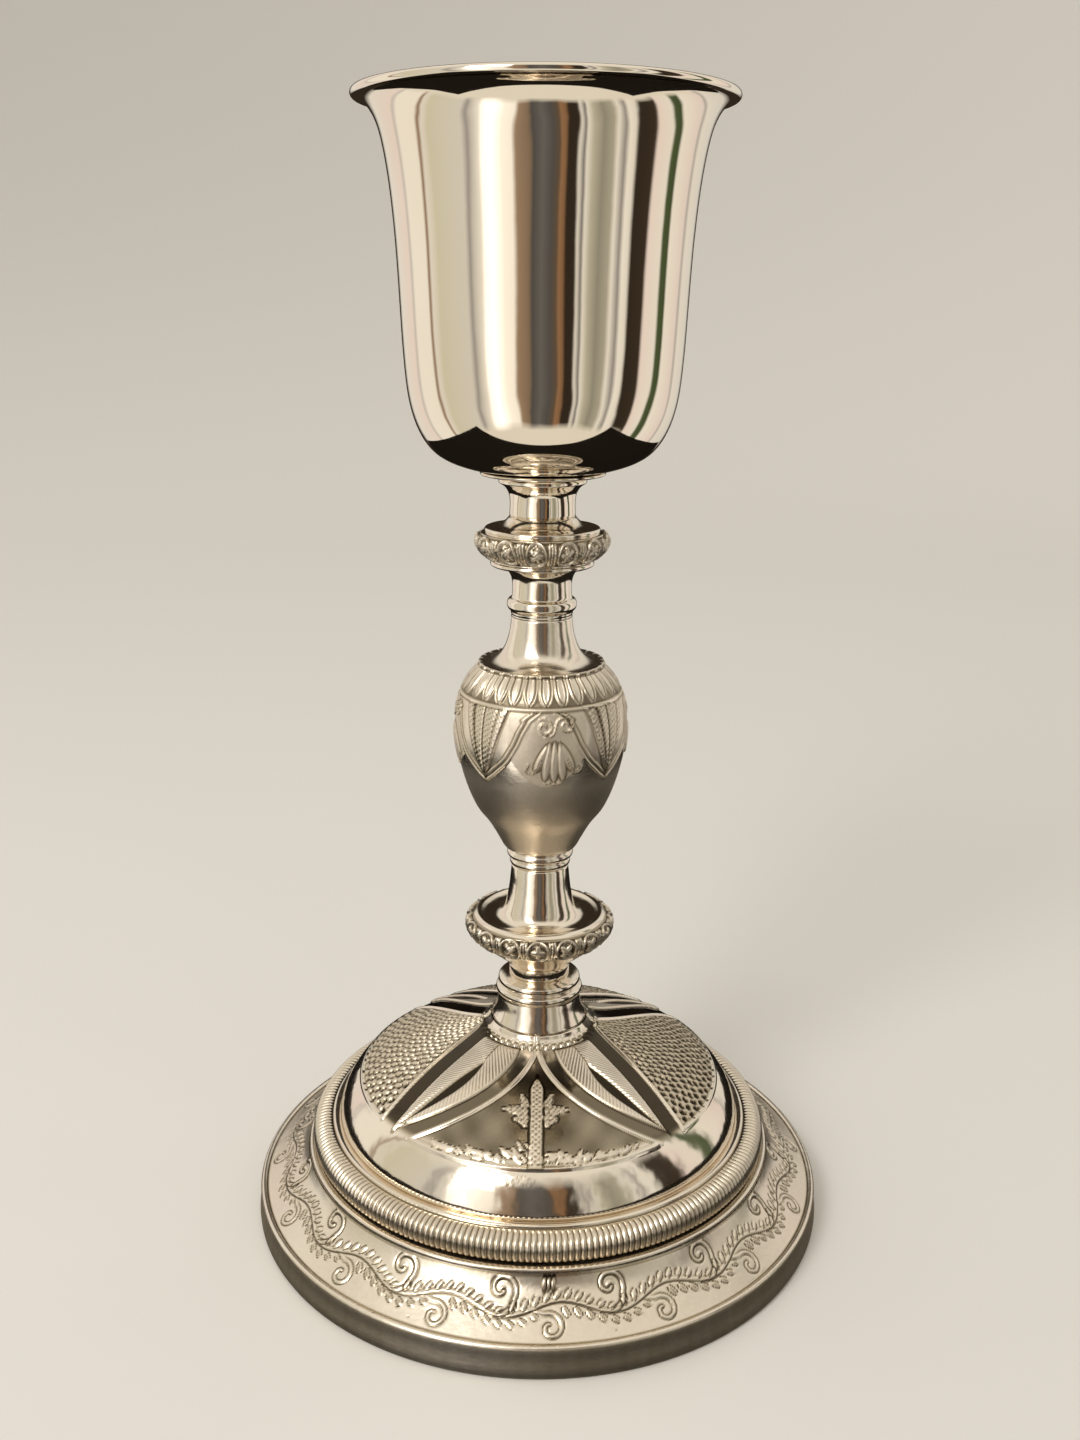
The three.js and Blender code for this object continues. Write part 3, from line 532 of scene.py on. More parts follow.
def engraved_foliage(x, y):
    """Faint leaves under the panel, left of the shaft."""
    below = np.full(x.shape, -1.0)
    for out, up, turn, size in scattered(34, 8):
        foot = (-1.0 - 10.0 * out, 8.4 + (2.5 - 1.8 * out) * up)
        below = np.maximum(below, blade(x, y, foot, 200 + 140 * turn, 0.9 + 0.6 * size, 0.7, 0.6))
    return below


def carve_cross(relief, inside):
    """A beaded cross with a lobed spray in each corner, and foliage heaped at its foot."""
    x = fold(relief.az - CROSS_AZ, 360) * relief.mm
    y = relief.s + 0 * x
    side = np.abs(x)
    near = (side < 27) & (y < 38) & (y > 7)
    half = 1.5 * np.sqrt(np.clip((36.2 - y) / 3.0, 0, 1))
    shaft = np.minimum(half - side, y - 11.9)
    bead = np.cos(2 * np.pi * y / 1.4) * np.cos(2 * np.pi * x / 1.5)
    grain = np.cos(2 * np.pi * (x + 0.3 * y) / 1.15) * np.cos(2 * np.pi * y / 1.15)
    sprays = cross_sprays(x, y)
    foliage = heaped_foliage(x, y)
    below = engraved_foliage(x, y)
    on_shaft = rise(0.0, 0.35, shaft)
    on_sprays = rise(0.0, 0.3, sprays) * (on_shaft < 0.5)
    height = CROSS_PROUD * on_shaft * (0.6 + 0.4 * bead)
    height = np.maximum(height, on_sprays * (0.34 + 0.16 * grain))
    height = np.maximum(height, 0.3 * rise(-0.05, 0.6, foliage))
    beside = on_shaft < 0.5
    dark = 1.2 * ridge(shaft + 0.25, 0.34) + 0.9 * on_shaft * rise(-0.2, -0.8, bead)
    dark = dark + ridge(sprays + 0.3, 0.36) * beside + 0.9 * on_sprays * rise(-0.1, -0.8, grain)
    dark = dark + 0.95 * ridge(foliage + 0.3, 0.36) * beside + 0.35 * ridge(below + 0.32, 0.34)
    relief.height += np.where(near, height, 0)
    relief.patina += np.where(near, 0.72 * np.clip(dark, 0, 1), 0)
    # Painted reflection: the bare, matted ground round the cross is darkened in its colour, unevenly,
    # fading out towards the apex
    ground = rise(0.5, 1.0, inside) * rise(12.4, 15.0, y) * rise(41.0, 31.0, y)
    bare = np.clip(1 - on_shaft - on_sprays, 0, 1) * rise(0.3, -0.3, foliage)
    uneven = 0.5 + 0.5 * np.sin(0.55 * x + 0.8) * np.cos(0.45 * y + 0.3 * np.sin(0.3 * x))
    relief.patina += ground * bare * (0.5 + 0.16 * uneven)
    relief.dull_to(0.2 * ground)
    on_leaves = np.maximum(rise(-0.3, 0.3, foliage), 0.35 * rise(-0.3, 0.3, below))
    rough = np.maximum.reduce([on_shaft, on_sprays, on_leaves])
    relief.satin = np.where(near, np.maximum(relief.satin, 0.75 * rough), relief.satin)


def carve_leaf(relief, edges, tip):
    """One split leaf between two panels, its halves hatched, the gap between them smooth."""
    (low_edge, low_gap), (high_edge, high_gap) = edges
    middle = (low_edge + high_edge) / 2
    across = fold(relief.az - middle, 360) * relief.mm
    from_tip = fold(relief.az - tip, 360)
    to_tip = (relief.s - LEAF_TIP) * 0.42 - np.abs(from_tip) * relief.mm
    to_tip = np.where(relief.s < LEAF_TIP + 4, to_tip, 9.0)
    inside = np.minimum(np.minimum(low_gap, high_gap), to_tip)
    inside = np.where(np.abs(from_tip) < 60, inside, -1.0)
    inside = np.minimum(inside, BEAD_LINE - 0.9 - relief.s)
    up = np.clip((relief.s - GAP_BOTTOM) / (GAP_TOP - GAP_BOTTOM), 0, 1)
    gap_half = 0.15 + 1.3 * np.sin(np.pi * up ** 1.5)
    in_gap = np.minimum(gap_half - np.abs(across), GAP_TOP - relief.s)
    in_gap = np.minimum(in_gap, relief.s - GAP_BOTTOM)
    body = rise(0.0, 0.35, inside) * rise(0.4, -0.5, in_gap)
    crown = 0.28 * rise(0, 3.2, np.minimum(inside, np.maximum(-in_gap, 0) + 1.2))
    vein = ridge(across, 0.35) * rise(GAP_TOP - 1.5, GAP_TOP, relief.s)
    relief.height += body * (LEAF_PROUD + crown - 0.14 * vein)
    relief.patina += 0.5 * body * vein + 0.7 * ridge(inside + 0.1, 0.3) * (relief.s > LEAF_TIP)
    relief.patina += 0.95 * rise(-0.1, 0.3, in_gap) * rise(0, 0.3, inside)
    relief.dull_to(0.6 * rise(-0.4, 0.1, inside))
    relief.hatch = np.where(body > 0.02, relief.s * 0.9 + np.abs(across) * 1.1, relief.hatch)
    relief.hatch_on = np.maximum(relief.hatch_on, body * rise(0.3, 0.9, inside))


def carve_bands(relief, inside, band, dark):
    """The raised border line of a panel, and outside it a polished band darkened in its colour as a
    painted reflection.
    """
    relief.height += BORDER_PROUD * ridge(inside, 0.62)
    relief.dull_to(0.35 * ridge(inside, 0.8))
    relief.patina += 0.5 * ridge(inside - 0.8, 0.3)
    painted_reflection_band = rise(-0.5, -0.8, inside) * rise(-band - 0.1, -band + 0.25, inside)
    lowest = rise(PANEL_BASE - 0.4, PANEL_BASE + 2.0, relief.s)
    # Painted reflection: the polished band is darkened, from the panel's foot upwards
    relief.patina += dark * painted_reflection_band * lowest


def carve_dome(relief):
    front = panel_inside(relief, FRONT_PANEL_AZ, front_half)
    sides = [panel_inside(relief, az, side_half) for az in SIDE_PANEL_AZ]
    panels = [(FRONT_PANEL_AZ, FRONT_BAND, front)] + [
        (az, SIDE_BAND, side) for az, side in zip(SIDE_PANEL_AZ, sides)
    ]
    # The front band's painted reflection fades out higher up the dome
    carve_bands(relief, front[1], FRONT_BAND, 0.66 * rise(38.0, 31.0, relief.s))
    for _, inside, _, _ in sides:
        carve_bands(relief, inside, SIDE_BAND, 0.92)
    for index, tip in enumerate(LEAF_TIPS_AZ):
        edges = []
        for panel, sign in ((panels[index - 1], 1), (panels[index], -1)):
            centre, band, (_, inside, wide, upright) = panel
            edge = centre + sign * (wide + band / (relief.mm * upright))
            edges.append((tip + fold(edge - tip, 360), -inside - band))
        carve_leaf(relief, edges, tip)
    for u, inside, _, _ in sides:
        carve_scales(relief, u, inside)
    carve_cross(relief, front[1])
    t = fold(relief.az, BEAD_PITCH) * relief.mm
    y = relief.s - BEAD_LINE
    from_bead = np.hypot(t, y)
    on = rise(2.2, 1.6, np.abs(y))
    arch = ridge(from_bead - 1.15, 0.3) * (y > -0.1)
    relief.height += on * (0.55 * ridge(from_bead, 0.85) + 0.25 * arch)
    relief.patina += on * 0.7 * ridge(from_bead - 0.85, 0.28)
    relief.dull_to(0.4 * on)


def foot_dome():
    outside = spline(DOME, 0.8, (9.6, 47.8, 0.385))
    inside = offset(spline(DOME[:-2], 2.4), FOOT_WALL)
    return turned("foot_dome", outside, carve_dome, DOME[0], inside, satin=0.08)


# Foot: cone and the two ring mouldings

def foot_neck():
    outside = joined(
        [(0.0, 49.6), (11.0, 49.6), (11.95, 50.6)],
        spline([(12.05, 50.85), (11.4, 52.1), (10.7, 54.2), (10.3, 56.2), (10.1, 57.0)], 0.5),
        spline([(10.1, 57.2), (10.75, 57.7), (10.95, 58.5), (10.7, 59.3), (10.0, 59.7)], ROUND_STEP),
        spline([(9.7, 59.9), (10.2, 60.3), (10.35, 61.0), (10.15, 61.7), (9.4, 62.2)], ROUND_STEP),
        [(8.6, 62.45), (7.7, 62.6), (0.0, 62.6)],
    )
    return turned("foot_neck", outside, satin=0.15)


# Knops: cast bands of rosettes

LOWER_BAND = (11.2, 18.6)
UPPER_BAND = (0.5, 8.7)


def carve_rosettes(relief, band, count, first, size, petals, dark):
    """Bosses with a flower of lumps, strokes between them, over a dark ground."""
    low, high = band
    pitch = 360 / count
    on = rise(low, low + 0.35, relief.s) * rise(high, high - 0.35, relief.s)
    t = fold(relief.az - first, pitch) * relief.mm
    which = np.floor((relief.az - first) / pitch + 0.5)
    y = relief.s - (low + high) / 2
    tall = (high - low) / 2 - 0.3
    reach = np.hypot(t / size, y / tall)
    turn = np.arctan2(y / tall, t / size) + 0.9 * np.sin(which * 2.3)
    flower = rise(0.14, -0.14, reach - (0.47 + 0.17 * np.cos(petals * turn)))
    clefts = ridge(np.sin(petals * turn / 2) * reach * size, 0.3) * rise(0.2, 0.35, reach)
    rim = ridge((reach - 0.9) * size, 0.42)
    heart = ridge(reach * size, 0.6)
    half = pitch * relief.mm / 2
    stroke = np.zeros(t.shape)
    for k in (0, 1):
        upright = ridge(half - np.abs(t) - 0.66 * k, 0.3) * rise(1.02, 0.85, np.abs(y) / tall)
        stroke = np.maximum(stroke, upright)
    drop = ridge(np.hypot(half - np.abs(t), np.abs(y) - tall * 0.72), 0.8)
    rough = np.cos(2 * np.pi * (t + 0.2 * which) / 0.95) * np.cos(2 * np.pi * (y + 0.15 * which) / 0.9)
    flower = flower * (0.8 - 0.4 * clefts + 0.25 * rough)
    stroke = (0.8 + 0.15 * rough) * stroke * (reach > 1.0)
    lumps = np.maximum.reduce([flower, rim, heart, stroke, drop])
    lumps = np.maximum(lumps, 0.45 * rise(0.2, 0.9, rough) * (reach < 0.9))
    relief.height += on * (0.7 * lumps - 0.34)
    relief.patina += on * dark * np.clip(rise(0.42, 0.05, lumps) + 0.4 * clefts * flower, 0, 1)
    relief.dull_to(0.62 * on)
    relief.patina += 0.6 * ridge(relief.s - low + 0.15, 0.3) + 0.6 * ridge(relief.s - high - 0.1, 0.3)


def lower_knop():
    underside = [
        (7.75, 2.9), (8.6, 4.0), (10.0, 5.3), (11.9, 6.9), (13.9, 8.5), (16.0, 10.2), (17.6, 11.8),
        (18.35, 13.4), (18.4, 14.4),
    ]
    dish = [
        (14.6, 16.65), (13.6, 16.2), (12.0, 16.05), (10.6, 16.35), (9.4, 17.3), (8.6, 18.9),
        (8.0, 21.3), (7.5, 24.6), (7.2, 27.6), (6.95, 29.6),
    ]
    outline = joined(
        [(0.0, 0.0), (7.2, 0.0), (7.65, 0.15)],
        spline([(7.65, 0.15), (7.6, 1.6), (7.75, 2.9)], PLAIN_STEP),
        spline(underside, 0.8, (10.4, 16.2, 0.22)),
        spline([(18.4, 14.4), (18.2, 15.0), (17.7, 15.5), (17.0, 15.85), (16.4, 16.0)], 0.22),
        [(16.25, 16.2)],
        spline([(16.25, 16.2), (15.7, 16.65), (15.1, 16.8), (14.6, 16.65)], 0.2),
        spline(dish, PLAIN_STEP), [(0.0, 29.6)],
    )
    return turned(
        "lower_knop_turned", raised_to("lower_knop", outline),
        lambda relief: carve_rosettes(relief, LOWER_BAND, 16, first=-1.0, size=2.8, petals=4, dark=0.8),
        (underside[0][0], underside[0][1] + SEAT["lower_knop"]), satin=0.12,
    )


def upper_knop():
    bead = [
        (7.3, 0.0), (7.15, 0.35), (7.35, 0.8), (7.35, 1.25), (7.6, 1.5), (8.1, 2.1), (8.25, 2.9),
        (8.1, 3.7), (7.6, 4.3), (7.1, 4.55),
    ]
    neck = [(7.1, 4.55), (7.0, 5.4), (7.0, 7.4), (7.3, 9.4), (8.2, 10.9), (9.4, 11.7), (10.6, 12.0)]
    band = [
        (11.7, 13.45), (12.6, 13.95), (13.6, 14.65), (14.6, 15.6), (15.3, 16.7), (15.6, 17.8),
        (15.35, 18.9), (14.7, 19.6), (13.6, 20.0),
    ]
    flare = [(12.8, 21.1), (11.4, 21.25), (10.0, 21.65), (8.9, 22.3), (8.15, 23.0), (7.7, 23.6)]
    outline = joined(
        [(0.0, 0.0), (6.9, 0.0)], spline(bead, 0.3), spline(neck, PLAIN_STEP),
        [(11.7, 12.05)],
        spline([(11.7, 12.05), (12.1, 12.3), (12.15, 12.8), (11.9, 13.25)], ROUND_STEP),
        spline(band, 0.2), [(13.35, 20.0)],
        spline([(13.35, 20.05), (13.5, 20.5), (13.3, 20.95), (12.8, 21.1)], ROUND_STEP),
        spline(flare, PLAIN_STEP), [(0.0, 23.6)],
    )
    return turned(
        "upper_knop_turned", raised_to("upper_knop", outline),
        lambda relief: carve_rosettes(relief, UPPER_BAND, 13, first=-5.0, size=2.5, petals=5, dark=0.55),
        (band[0][0], band[0][1] + SEAT["upper_knop"]), satin=0.12,
    )


# Urn knop: tongues, bordered leaves and palmettes

URN_START = (8.7, 5.0)
URN = [
    (7.6, 4.3), URN_START, (9.75, 6.6), (11.7, 10.2), (13.3, 12.7), (15.3, 15.3), (16.8, 18.2),
    (18.1, 21.6), (19.4, 26.1), (20.35, 30.7), (20.8, 35.3), (20.6, 38.9), (19.9, 42.7),
    (18.8, 45.7), (17.6, 47.8), (16.2, 49.5), (14.8, 50.8),
]
URN_LINE = 42.6
TONGUE_PITCH = 12.0
TONGUE_FOOT = 43.4
TONGUE_TOP = 51.3


def carve_tongues(relief):
    """Round-ended tongues standing on a raised line."""
    t = np.abs(fold(relief.az - 4.0, TONGUE_PITCH)) * relief.mm
    y = relief.s - TONGUE_FOOT
    rounded = np.sqrt(np.clip(1 - (1 - np.clip(y / 4.5, 0, 1)) ** 2, 0, 1))
    half = 0.47 * TONGUE_PITCH * relief.mm * rounded
    inside = np.where((y > 0) & (relief.s < TONGUE_TOP), half - t, -1.0)
    inside = np.minimum(inside, TONGUE_TOP - relief.s)
    lines = np.maximum(ridge(inside - 0.25, 0.32), 0.75 * ridge(inside - 1.0, 0.32))
    on = rise(42.9, 43.3, relief.s) * rise(51.8, 51.4, relief.s)
    crown = 0.1 * rise(1.0, 1.5, inside)
    relief.height += on * (0.34 * lines - 0.12 * rise(0.1, -0.2, inside) + crown)
    relief.patina += on * (0.7 * ridge(inside - 0.62, 0.3) + 0.5 * rise(0.05, -0.2, inside))
    relief.dull_to(0.55 * on)
    from_line = relief.s - URN_LINE
    relief.height += 0.36 * ridge(from_line, 0.5)
    relief.patina += 0.6 * ridge(from_line + 0.6, 0.3) + 0.4 * ridge(from_line - 0.55, 0.3)


# Half widths in degrees of the border and its leaf at lengths up the urn
URN_BORDER = ((24, 0), (26, 7.5), (29, 16.5), (30.5, 19.8), (34, 25.5), (37, 29), (40, 33.6), (42, 41))
URN_LEAF = ((25.5, 0), (28, 4.4), (31, 7.9), (34, 10.8), (38, 14.6), (41, 17.5), (42.2, 18.5))


def carve_urn_leaves(relief):
    """A veined leaf in a pointed border, between every two arches."""
    turn = fold(relief.az - URN_ARCH_AZ - 45, 90)
    v = np.abs(turn)
    s = relief.s[:, 0]
    border = np.interp(s, *np.array(URN_BORDER).T)
    leaf = np.interp(s, *np.array(URN_LEAF).T)
    mm = relief.mm
    lean_border = np.gradient(border, s)[:, None] * mm
    lean_leaf = np.gradient(leaf, s)[:, None] * mm
    from_border = (border[:, None] - v) * mm / np.sqrt(1 + lean_border ** 2)
    in_leaf = (leaf[:, None] - v) * mm / np.sqrt(1 + lean_leaf ** 2)
    on = rise(23.6, 24.0, relief.s) * rise(42.3, 41.9, relief.s)
    relief.height += on * (0.4 * ridge(from_border - 0.1, 0.4) + 0.28 * ridge(from_border - 1.25, 0.35))
    relief.patina += on * (0.75 * ridge(from_border - 0.68, 0.3) + 0.6 * ridge(from_border - 1.75, 0.3))
    body = on * rise(0.0, 0.4, in_leaf)
    middle = ridge(v * mm, 0.36)
    share = turn / np.maximum(leaf[:, None], 0.5)
    folds = ridge(share + 0.52, 0.16) + 0.6 * ridge(share - 0.6, 0.12)
    across, up = turn * mm, relief.s + 0.3 * turn * mm
    grain = np.cos(2 * np.pi * across / 1.2) * np.cos(2 * np.pi * up / 1.2)
    crown = 0.22 * (1 - np.abs(np.clip(2 * np.abs(share) - 1, -1, 1)) ** 1.5)
    relief.height += body * (0.3 + crown - 0.25 * middle - 0.14 * folds + 0.1 * grain)
    pits = 0.5 * rise(0.3, 0.8, grain) * rise(0, 0.6, in_leaf)
    relief.patina += body * (0.85 * middle + 0.6 * folds + pits)
    relief.patina += on * 0.5 * ridge(in_leaf + 0.2, 0.35)
    relief.dull_to(0.5 * on * rise(-0.2, 0.2, from_border))


# Fan of leaves, as (foot, angle, length, width), and the lines round it
PALMETTE_LEAVES = (
    ((0.2, 35.8), -90, 10.4, 2.1), ((-0.9, 35.6), -96, 10.0, 2.0), ((1.3, 35.6), -84, 10.0, 2.0),
    ((-1.4, 35.0), -112, 7.8, 2.0), ((1.8, 35.0), -68, 7.8, 2.0),
)
PALMETTE_LINES = (
    curl((-2.1, 38.7), (2.15, 0.5), (120, -330)),
    curl((3.0, 39.0), (2.1, 0.5), (130, -330)),
    spline([(-1.9, 36.6), (-0.5, 36.8), (0.4, 38.4), (0.9, 40.0), (1.7, 40.7)], 0.5),
    spline([(-3.0, 31.0), (-4.0, 28.4), (-5.2, 27.6), (-6.3, 28.4), (-5.9, 29.6)], 0.5),
    spline([(3.4, 31.0), (4.4, 28.4), (5.6, 27.6), (6.7, 28.4), (6.3, 29.6)], 0.5),
    spline([(-1.8, 25.2), (0.2, 24.8), (2.0, 25.3)], 0.5),
)


def carve_palmettes(relief):
    """Two volutes over a fan of leaves, on the matt field inside each arch."""
    u = fold(relief.az - URN_ARCH_AZ, 90)
    field = 26 * np.sqrt(np.clip((relief.s - 23.9) / 8.0, 0, 1))
    field_in = np.where(relief.s < 44.0, (field - np.abs(u)) * relief.mm, -1.0)
    relief.dull_to(0.95 * rise(-0.2, 0.3, field_in))
    x = (u - PALMETTE_SHIFT) * relief.mm
    y = relief.s + 0 * x
    lines = np.zeros(x.shape)
    for path in PALMETTE_LINES:
        lines = np.maximum(lines, ridge(path_gap(x, y, path)[0], 0.38))
    fan = np.full(x.shape, -1.0)
    for foot, angle, length, width in PALMETTE_LEAVES:
        fan = np.maximum(fan, blade(x, y, foot, angle, length, width, 0.62))
    close = np.abs(x) < 9
    drawn = np.where(close, np.maximum(rise(0.1, 0.5, lines), rise(-0.1, 0.3, fan)), 0)
    relief.dull_to(0.62 * drawn)
    relief.height += np.where(close, np.maximum(0.42 * lines, 0.42 * rise(0, 0.6, fan)), 0)
    shade = ridge(fan + 0.1, 0.36)
    halo = rise(0.01, 0.15, lines) * rise(0.6, 0.25, lines)
    relief.patina += np.where(close, 0.62 * np.clip(shade + halo, 0, 1), 0)


def carve_urn(relief):
    carve_tongues(relief)
    carve_urn_leaves(relief)
    carve_palmettes(relief)
    relief.satin += 0.42 * rise(30, 22, relief.s) * (relief.s > 0)


def urn_knop():
    waist = [(6.9, 0.0), (7.3, 0.35), (7.5, 0.95), (7.35, 1.6), (6.95, 1.95)]
    ring = [(7.1, 2.05), (7.75, 2.35), (8.15, 3.0), (7.95, 3.75), (7.6, 4.2)]
    neck = [
        (14.1, 51.75), (12.5, 52.0), (10.8, 52.9), (9.3, 54.5), (8.25, 56.8), (7.6, 59.3),
        (7.3, 61.5), (7.25, 62.8),
    ]
    outline = joined(
        [(0.0, 0.0), (6.5, 0.0)], spline(waist, 0.3), spline(ring, 0.3),
        spline(URN, 0.8, (23.0, 52.4, 0.31)), [(14.85, 51.0), (14.95, 51.3), (14.75, 51.65)],
        spline(neck, PLAIN_STEP), [(0.0, 62.8)],
    )
    start = (URN_START[0], URN_START[1] + SEAT["urn_knop"])
    return turned("urn_knop_turned", raised_to("urn_knop", outline), carve_urn, start, satin=0.26)


# Collar and cup

def cup_collar():
    neck = [(7.7, 0.0), (7.6, 2.2), (7.7, 4.4), (8.2, 5.9), (9.0, 6.9), (9.6, 7.3)]
    outline = joined(
        [(0.0, 0.0), (7.2, 0.0)], spline(neck, PLAIN_STEP),
        spline([(9.75, 7.4), (10.15, 7.7), (10.2, 8.2), (9.95, 8.7), (9.6, 8.9)], ROUND_STEP),
        spline([(9.9, 9.05), (11.4, 9.15), (13.4, 9.3), (14.3, 9.5)], PLAIN_STEP),
        spline([(14.3, 9.5), (14.5, 9.75), (14.4, 10.05), (13.9, 10.2)], 0.2),
        [(13.3, 10.35), (0.0, 10.35)],
    )
    return turned("cup_collar_turned", raised_to("cup_collar", outline), satin=0.05)


CUP_OUTSIDE = [
    (13.6, 0.0), (15.4, 0.25), (18.2, 0.95), (21.5, 2.15), (24.6, 4.05), (27.0, 6.8), (28.8, 10.3),
    (30.2, 15.0), (31.15, 22.0), (31.75, 31.0), (32.2, 40.5), (32.65, 48.5), (33.25, 56.0), (34.1, 63.3),
    (35.15, 69.3), (36.5, 73.9), (38.1, 76.6), (39.7, 77.9), (40.7, 78.15),
]
LIP_CENTRE = (40.7, 79.0)
LIP_RADIUS = 0.95


def carve_cup(relief):
    """The slight unevenness of a spun and planished wall."""
    a = np.radians(relief.az)
    wander = np.sin(3 * a + 0.9) + 0.8 * np.sin(5 * a + 2.1 + 0.03 * relief.s)
    wander = wander + 0.5 * np.sin(9 * a - 0.05 * relief.s) + 0.35 * np.sin(17 * a + 0.08 * relief.s)
    relief.height += 0.012 * wander * rise(16, 26, relief.s) * rise(95, 88, relief.s)


def cup():
    turn = np.radians(np.arange(-80, 171, 10))
    roll = np.array(LIP_CENTRE) + LIP_RADIUS * np.stack([np.cos(turn), np.sin(turn)], 1)
    outside = spline(CUP_OUTSIDE, 1.2)
    inside = offset(spline(CUP_OUTSIDE, 2.4), CUP_WALL)
    inside = inside[(inside[:, 1] < 77.6) & (inside[:, 0] > 11)]
    outline = joined([(0.0, 0.0), (12.8, 0.0)], outside, roll, inside, [(6.0, 0.95), (0.0, 0.95)])
    return turned("cup_spun", raised_to("cup", outline), carve_cup)


# Materials

def node(tree, kind, **inputs):
    made = tree.nodes.new(kind)
    for name, value in inputs.items():
        made.inputs[name].default_value = value
    return made


def attribute(tree, name):
    made = tree.nodes.new("ShaderNodeAttribute")
    made.attribute_name = name
    return made.outputs["Fac"]


def feed(tree, socket, value):
    if isinstance(value, (int, float, tuple)):
        socket.default_value = value
    else:
        tree.links.new(value, socket)


def maths(tree, operation, a, b=0.0):
    made = tree.nodes.new("ShaderNodeMath")
    made.operation = operation
    feed(tree, made.inputs[0], a)
    feed(tree, made.inputs[1], b)
    return made.outputs[0]


def blend_colour(tree, factor, a, b, way="MIX"):
    made = tree.nodes.new("ShaderNodeMix")
    made.data_type = "RGBA"
    made.blend_type = way
    for socket, value in ((0, factor), (6, a), (7, b)):
        feed(tree, made.inputs[socket], value)
    return made.outputs[2]


def colour_ramp(tree, amount, colours):
    """A ramp through (place, colour) pairs, the first at 0 and the last at 1."""
    ramp = tree.nodes.new("ShaderNodeValToRGB")
    stops = ramp.color_ramp.elements
    stops[1].position = 1.0
    for index, (place, colour) in enumerate(colours):
        stop = stops[0] if index == 0 else stops[-1] if place == 1 else stops.new(place)
        stop.color = colour
    tree.links.new(amount, ramp.inputs[0])
    return ramp.outputs[0]


def noise(tree, scale, detail=3.0, stretch=(1, 1, 1)):
    coordinates = tree.nodes.new("ShaderNodeTexCoord")
    mapping = tree.nodes.new("ShaderNodeMapping")
    mapping.inputs["Scale"].default_value = stretch
    tree.links.new(coordinates.outputs["Object"], mapping.inputs["Vector"])
    made = node(tree, "ShaderNodeTexNoise", Scale=scale, Detail=detail)
    tree.links.new(mapping.outputs[0], made.inputs["Vector"])
    return made.outputs["Fac"]


SILVER = (0.92, 0.85, 0.75, 1.0)
WARM_SILVER = (0.86, 0.77, 0.63, 1.0)

# Colours of the tarnish from none to the deepest recess, also used for the painted shade and painted
# highlight on the rim edge, the panel bands and the cross's ground
TARNISH_AND_SHADE = (
    (0.0, SILVER), (0.35, (0.56, 0.49, 0.37, 1.0)), (0.7, (0.17, 0.14, 0.10, 1.0)),
    (1.0, (0.045, 0.036, 0.024, 1.0)),
)


def silver(name, gloss, matt, grain, wobble):
    """Warm silver: mirror to matt by the carving's finish, tarnished in its recesses, and darker or
    paler where shade and highlights are painted into its colour.
    """
    material = bpy.data.materials.new(name)
    material.use_nodes = True
    tree = material.node_tree
    shader = tree.nodes["Principled BSDF"]
    shader.inputs["Metallic"].default_value = 1.0
    satin = attribute(tree, "satin")
    # Tarnish, together with the painted shade and painted highlights
    patina = attribute(tree, "patina")
    cloud = noise(tree, 45.0, 4.0)
    speck = noise(tree, 1100.0, 2.0)
    phase = maths(tree, "MULTIPLY", attribute(tree, "hatch"), 2 * math.pi)
    hatching = maths(tree, "MULTIPLY", maths(tree, "SINE", phase), attribute(tree, "hatch_on"))
    dull = maths(tree, "MULTIPLY", maths(tree, "MINIMUM", satin, 0.6), speck)
    dull = maths(tree, "MULTIPLY", dull, 0.22)
    dull = maths(tree, "ADD", dull, maths(tree, "MULTIPLY", hatching, -0.14))
    dull = maths(tree, "ADD", dull, patina)
    dark = tree.nodes.new("ShaderNodeClamp")
    tree.links.new(dull, dark.inputs[0])
    toned = colour_ramp(tree, dark.outputs[0], TARNISH_AND_SHADE)
    yellowed = maths(tree, "MULTIPLY", cloud, 0.35)
    warmed = blend_colour(tree, yellowed, toned, WARM_SILVER, "MULTIPLY")
    tree.links.new(warmed, shader.inputs["Base Color"])
    span = maths(tree, "MULTIPLY", satin, matt - gloss)
    wear = maths(tree, "MULTIPLY", cloud, 0.05)
    roughness = maths(tree, "ADD", maths(tree, "ADD", span, wear), gloss)
    tree.links.new(roughness, shader.inputs["Roughness"])
    tooth = maths(tree, "MULTIPLY", maths(tree, "MULTIPLY", speck, satin), grain)
    uneven = maths(tree, "MULTIPLY", noise(tree, 230.0, 1.0), wobble)
    height = maths(tree, "ADD", maths(tree, "MULTIPLY", hatching, 0.5), tooth)
    height = maths(tree, "ADD", height, uneven)
    bump = node(tree, "ShaderNodeBump", Strength=0.55, Distance=0.00012)
    tree.links.new(height, bump.inputs["Height"])
    tree.links.new(bump.outputs[0], shader.inputs["Normal"])
    return material


SLOTS = {
    "polished_silver": silver("polished_silver", gloss=0.02, matt=0.4, grain=0.4, wobble=0.12),
    "chased_silver": silver("chased_silver", gloss=0.05, matt=0.5, grain=0.9, wobble=1.6),
}

for make, replaced, slot in (
    (foot_edge, "foot", "chased_silver"), (foot_reeds, "foot", "chased_silver"),
    (foot_dome, "foot", "chased_silver"), (foot_neck, "foot", "chased_silver"),
    (lower_knop, "lower_knop", "chased_silver"), (urn_knop, "urn_knop", "chased_silver"),
    (upper_knop, "upper_knop", "chased_silver"), (cup_collar, "cup_collar", "polished_silver"),
    (cup, "cup", "polished_silver"),
):
    piece = make()
    piece.data.materials.append(SLOTS[slot])
    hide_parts(replaced)
    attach(piece, BODY)


# Floor and backdrop: one pale bowl that only the camera sees

FLOOR_RADIUS = 1.1
COVE_RADIUS = 0.8
WALL_TOP = 3.0
PALE_PAINT = (0.82, 0.81, 0.79, 1.0)


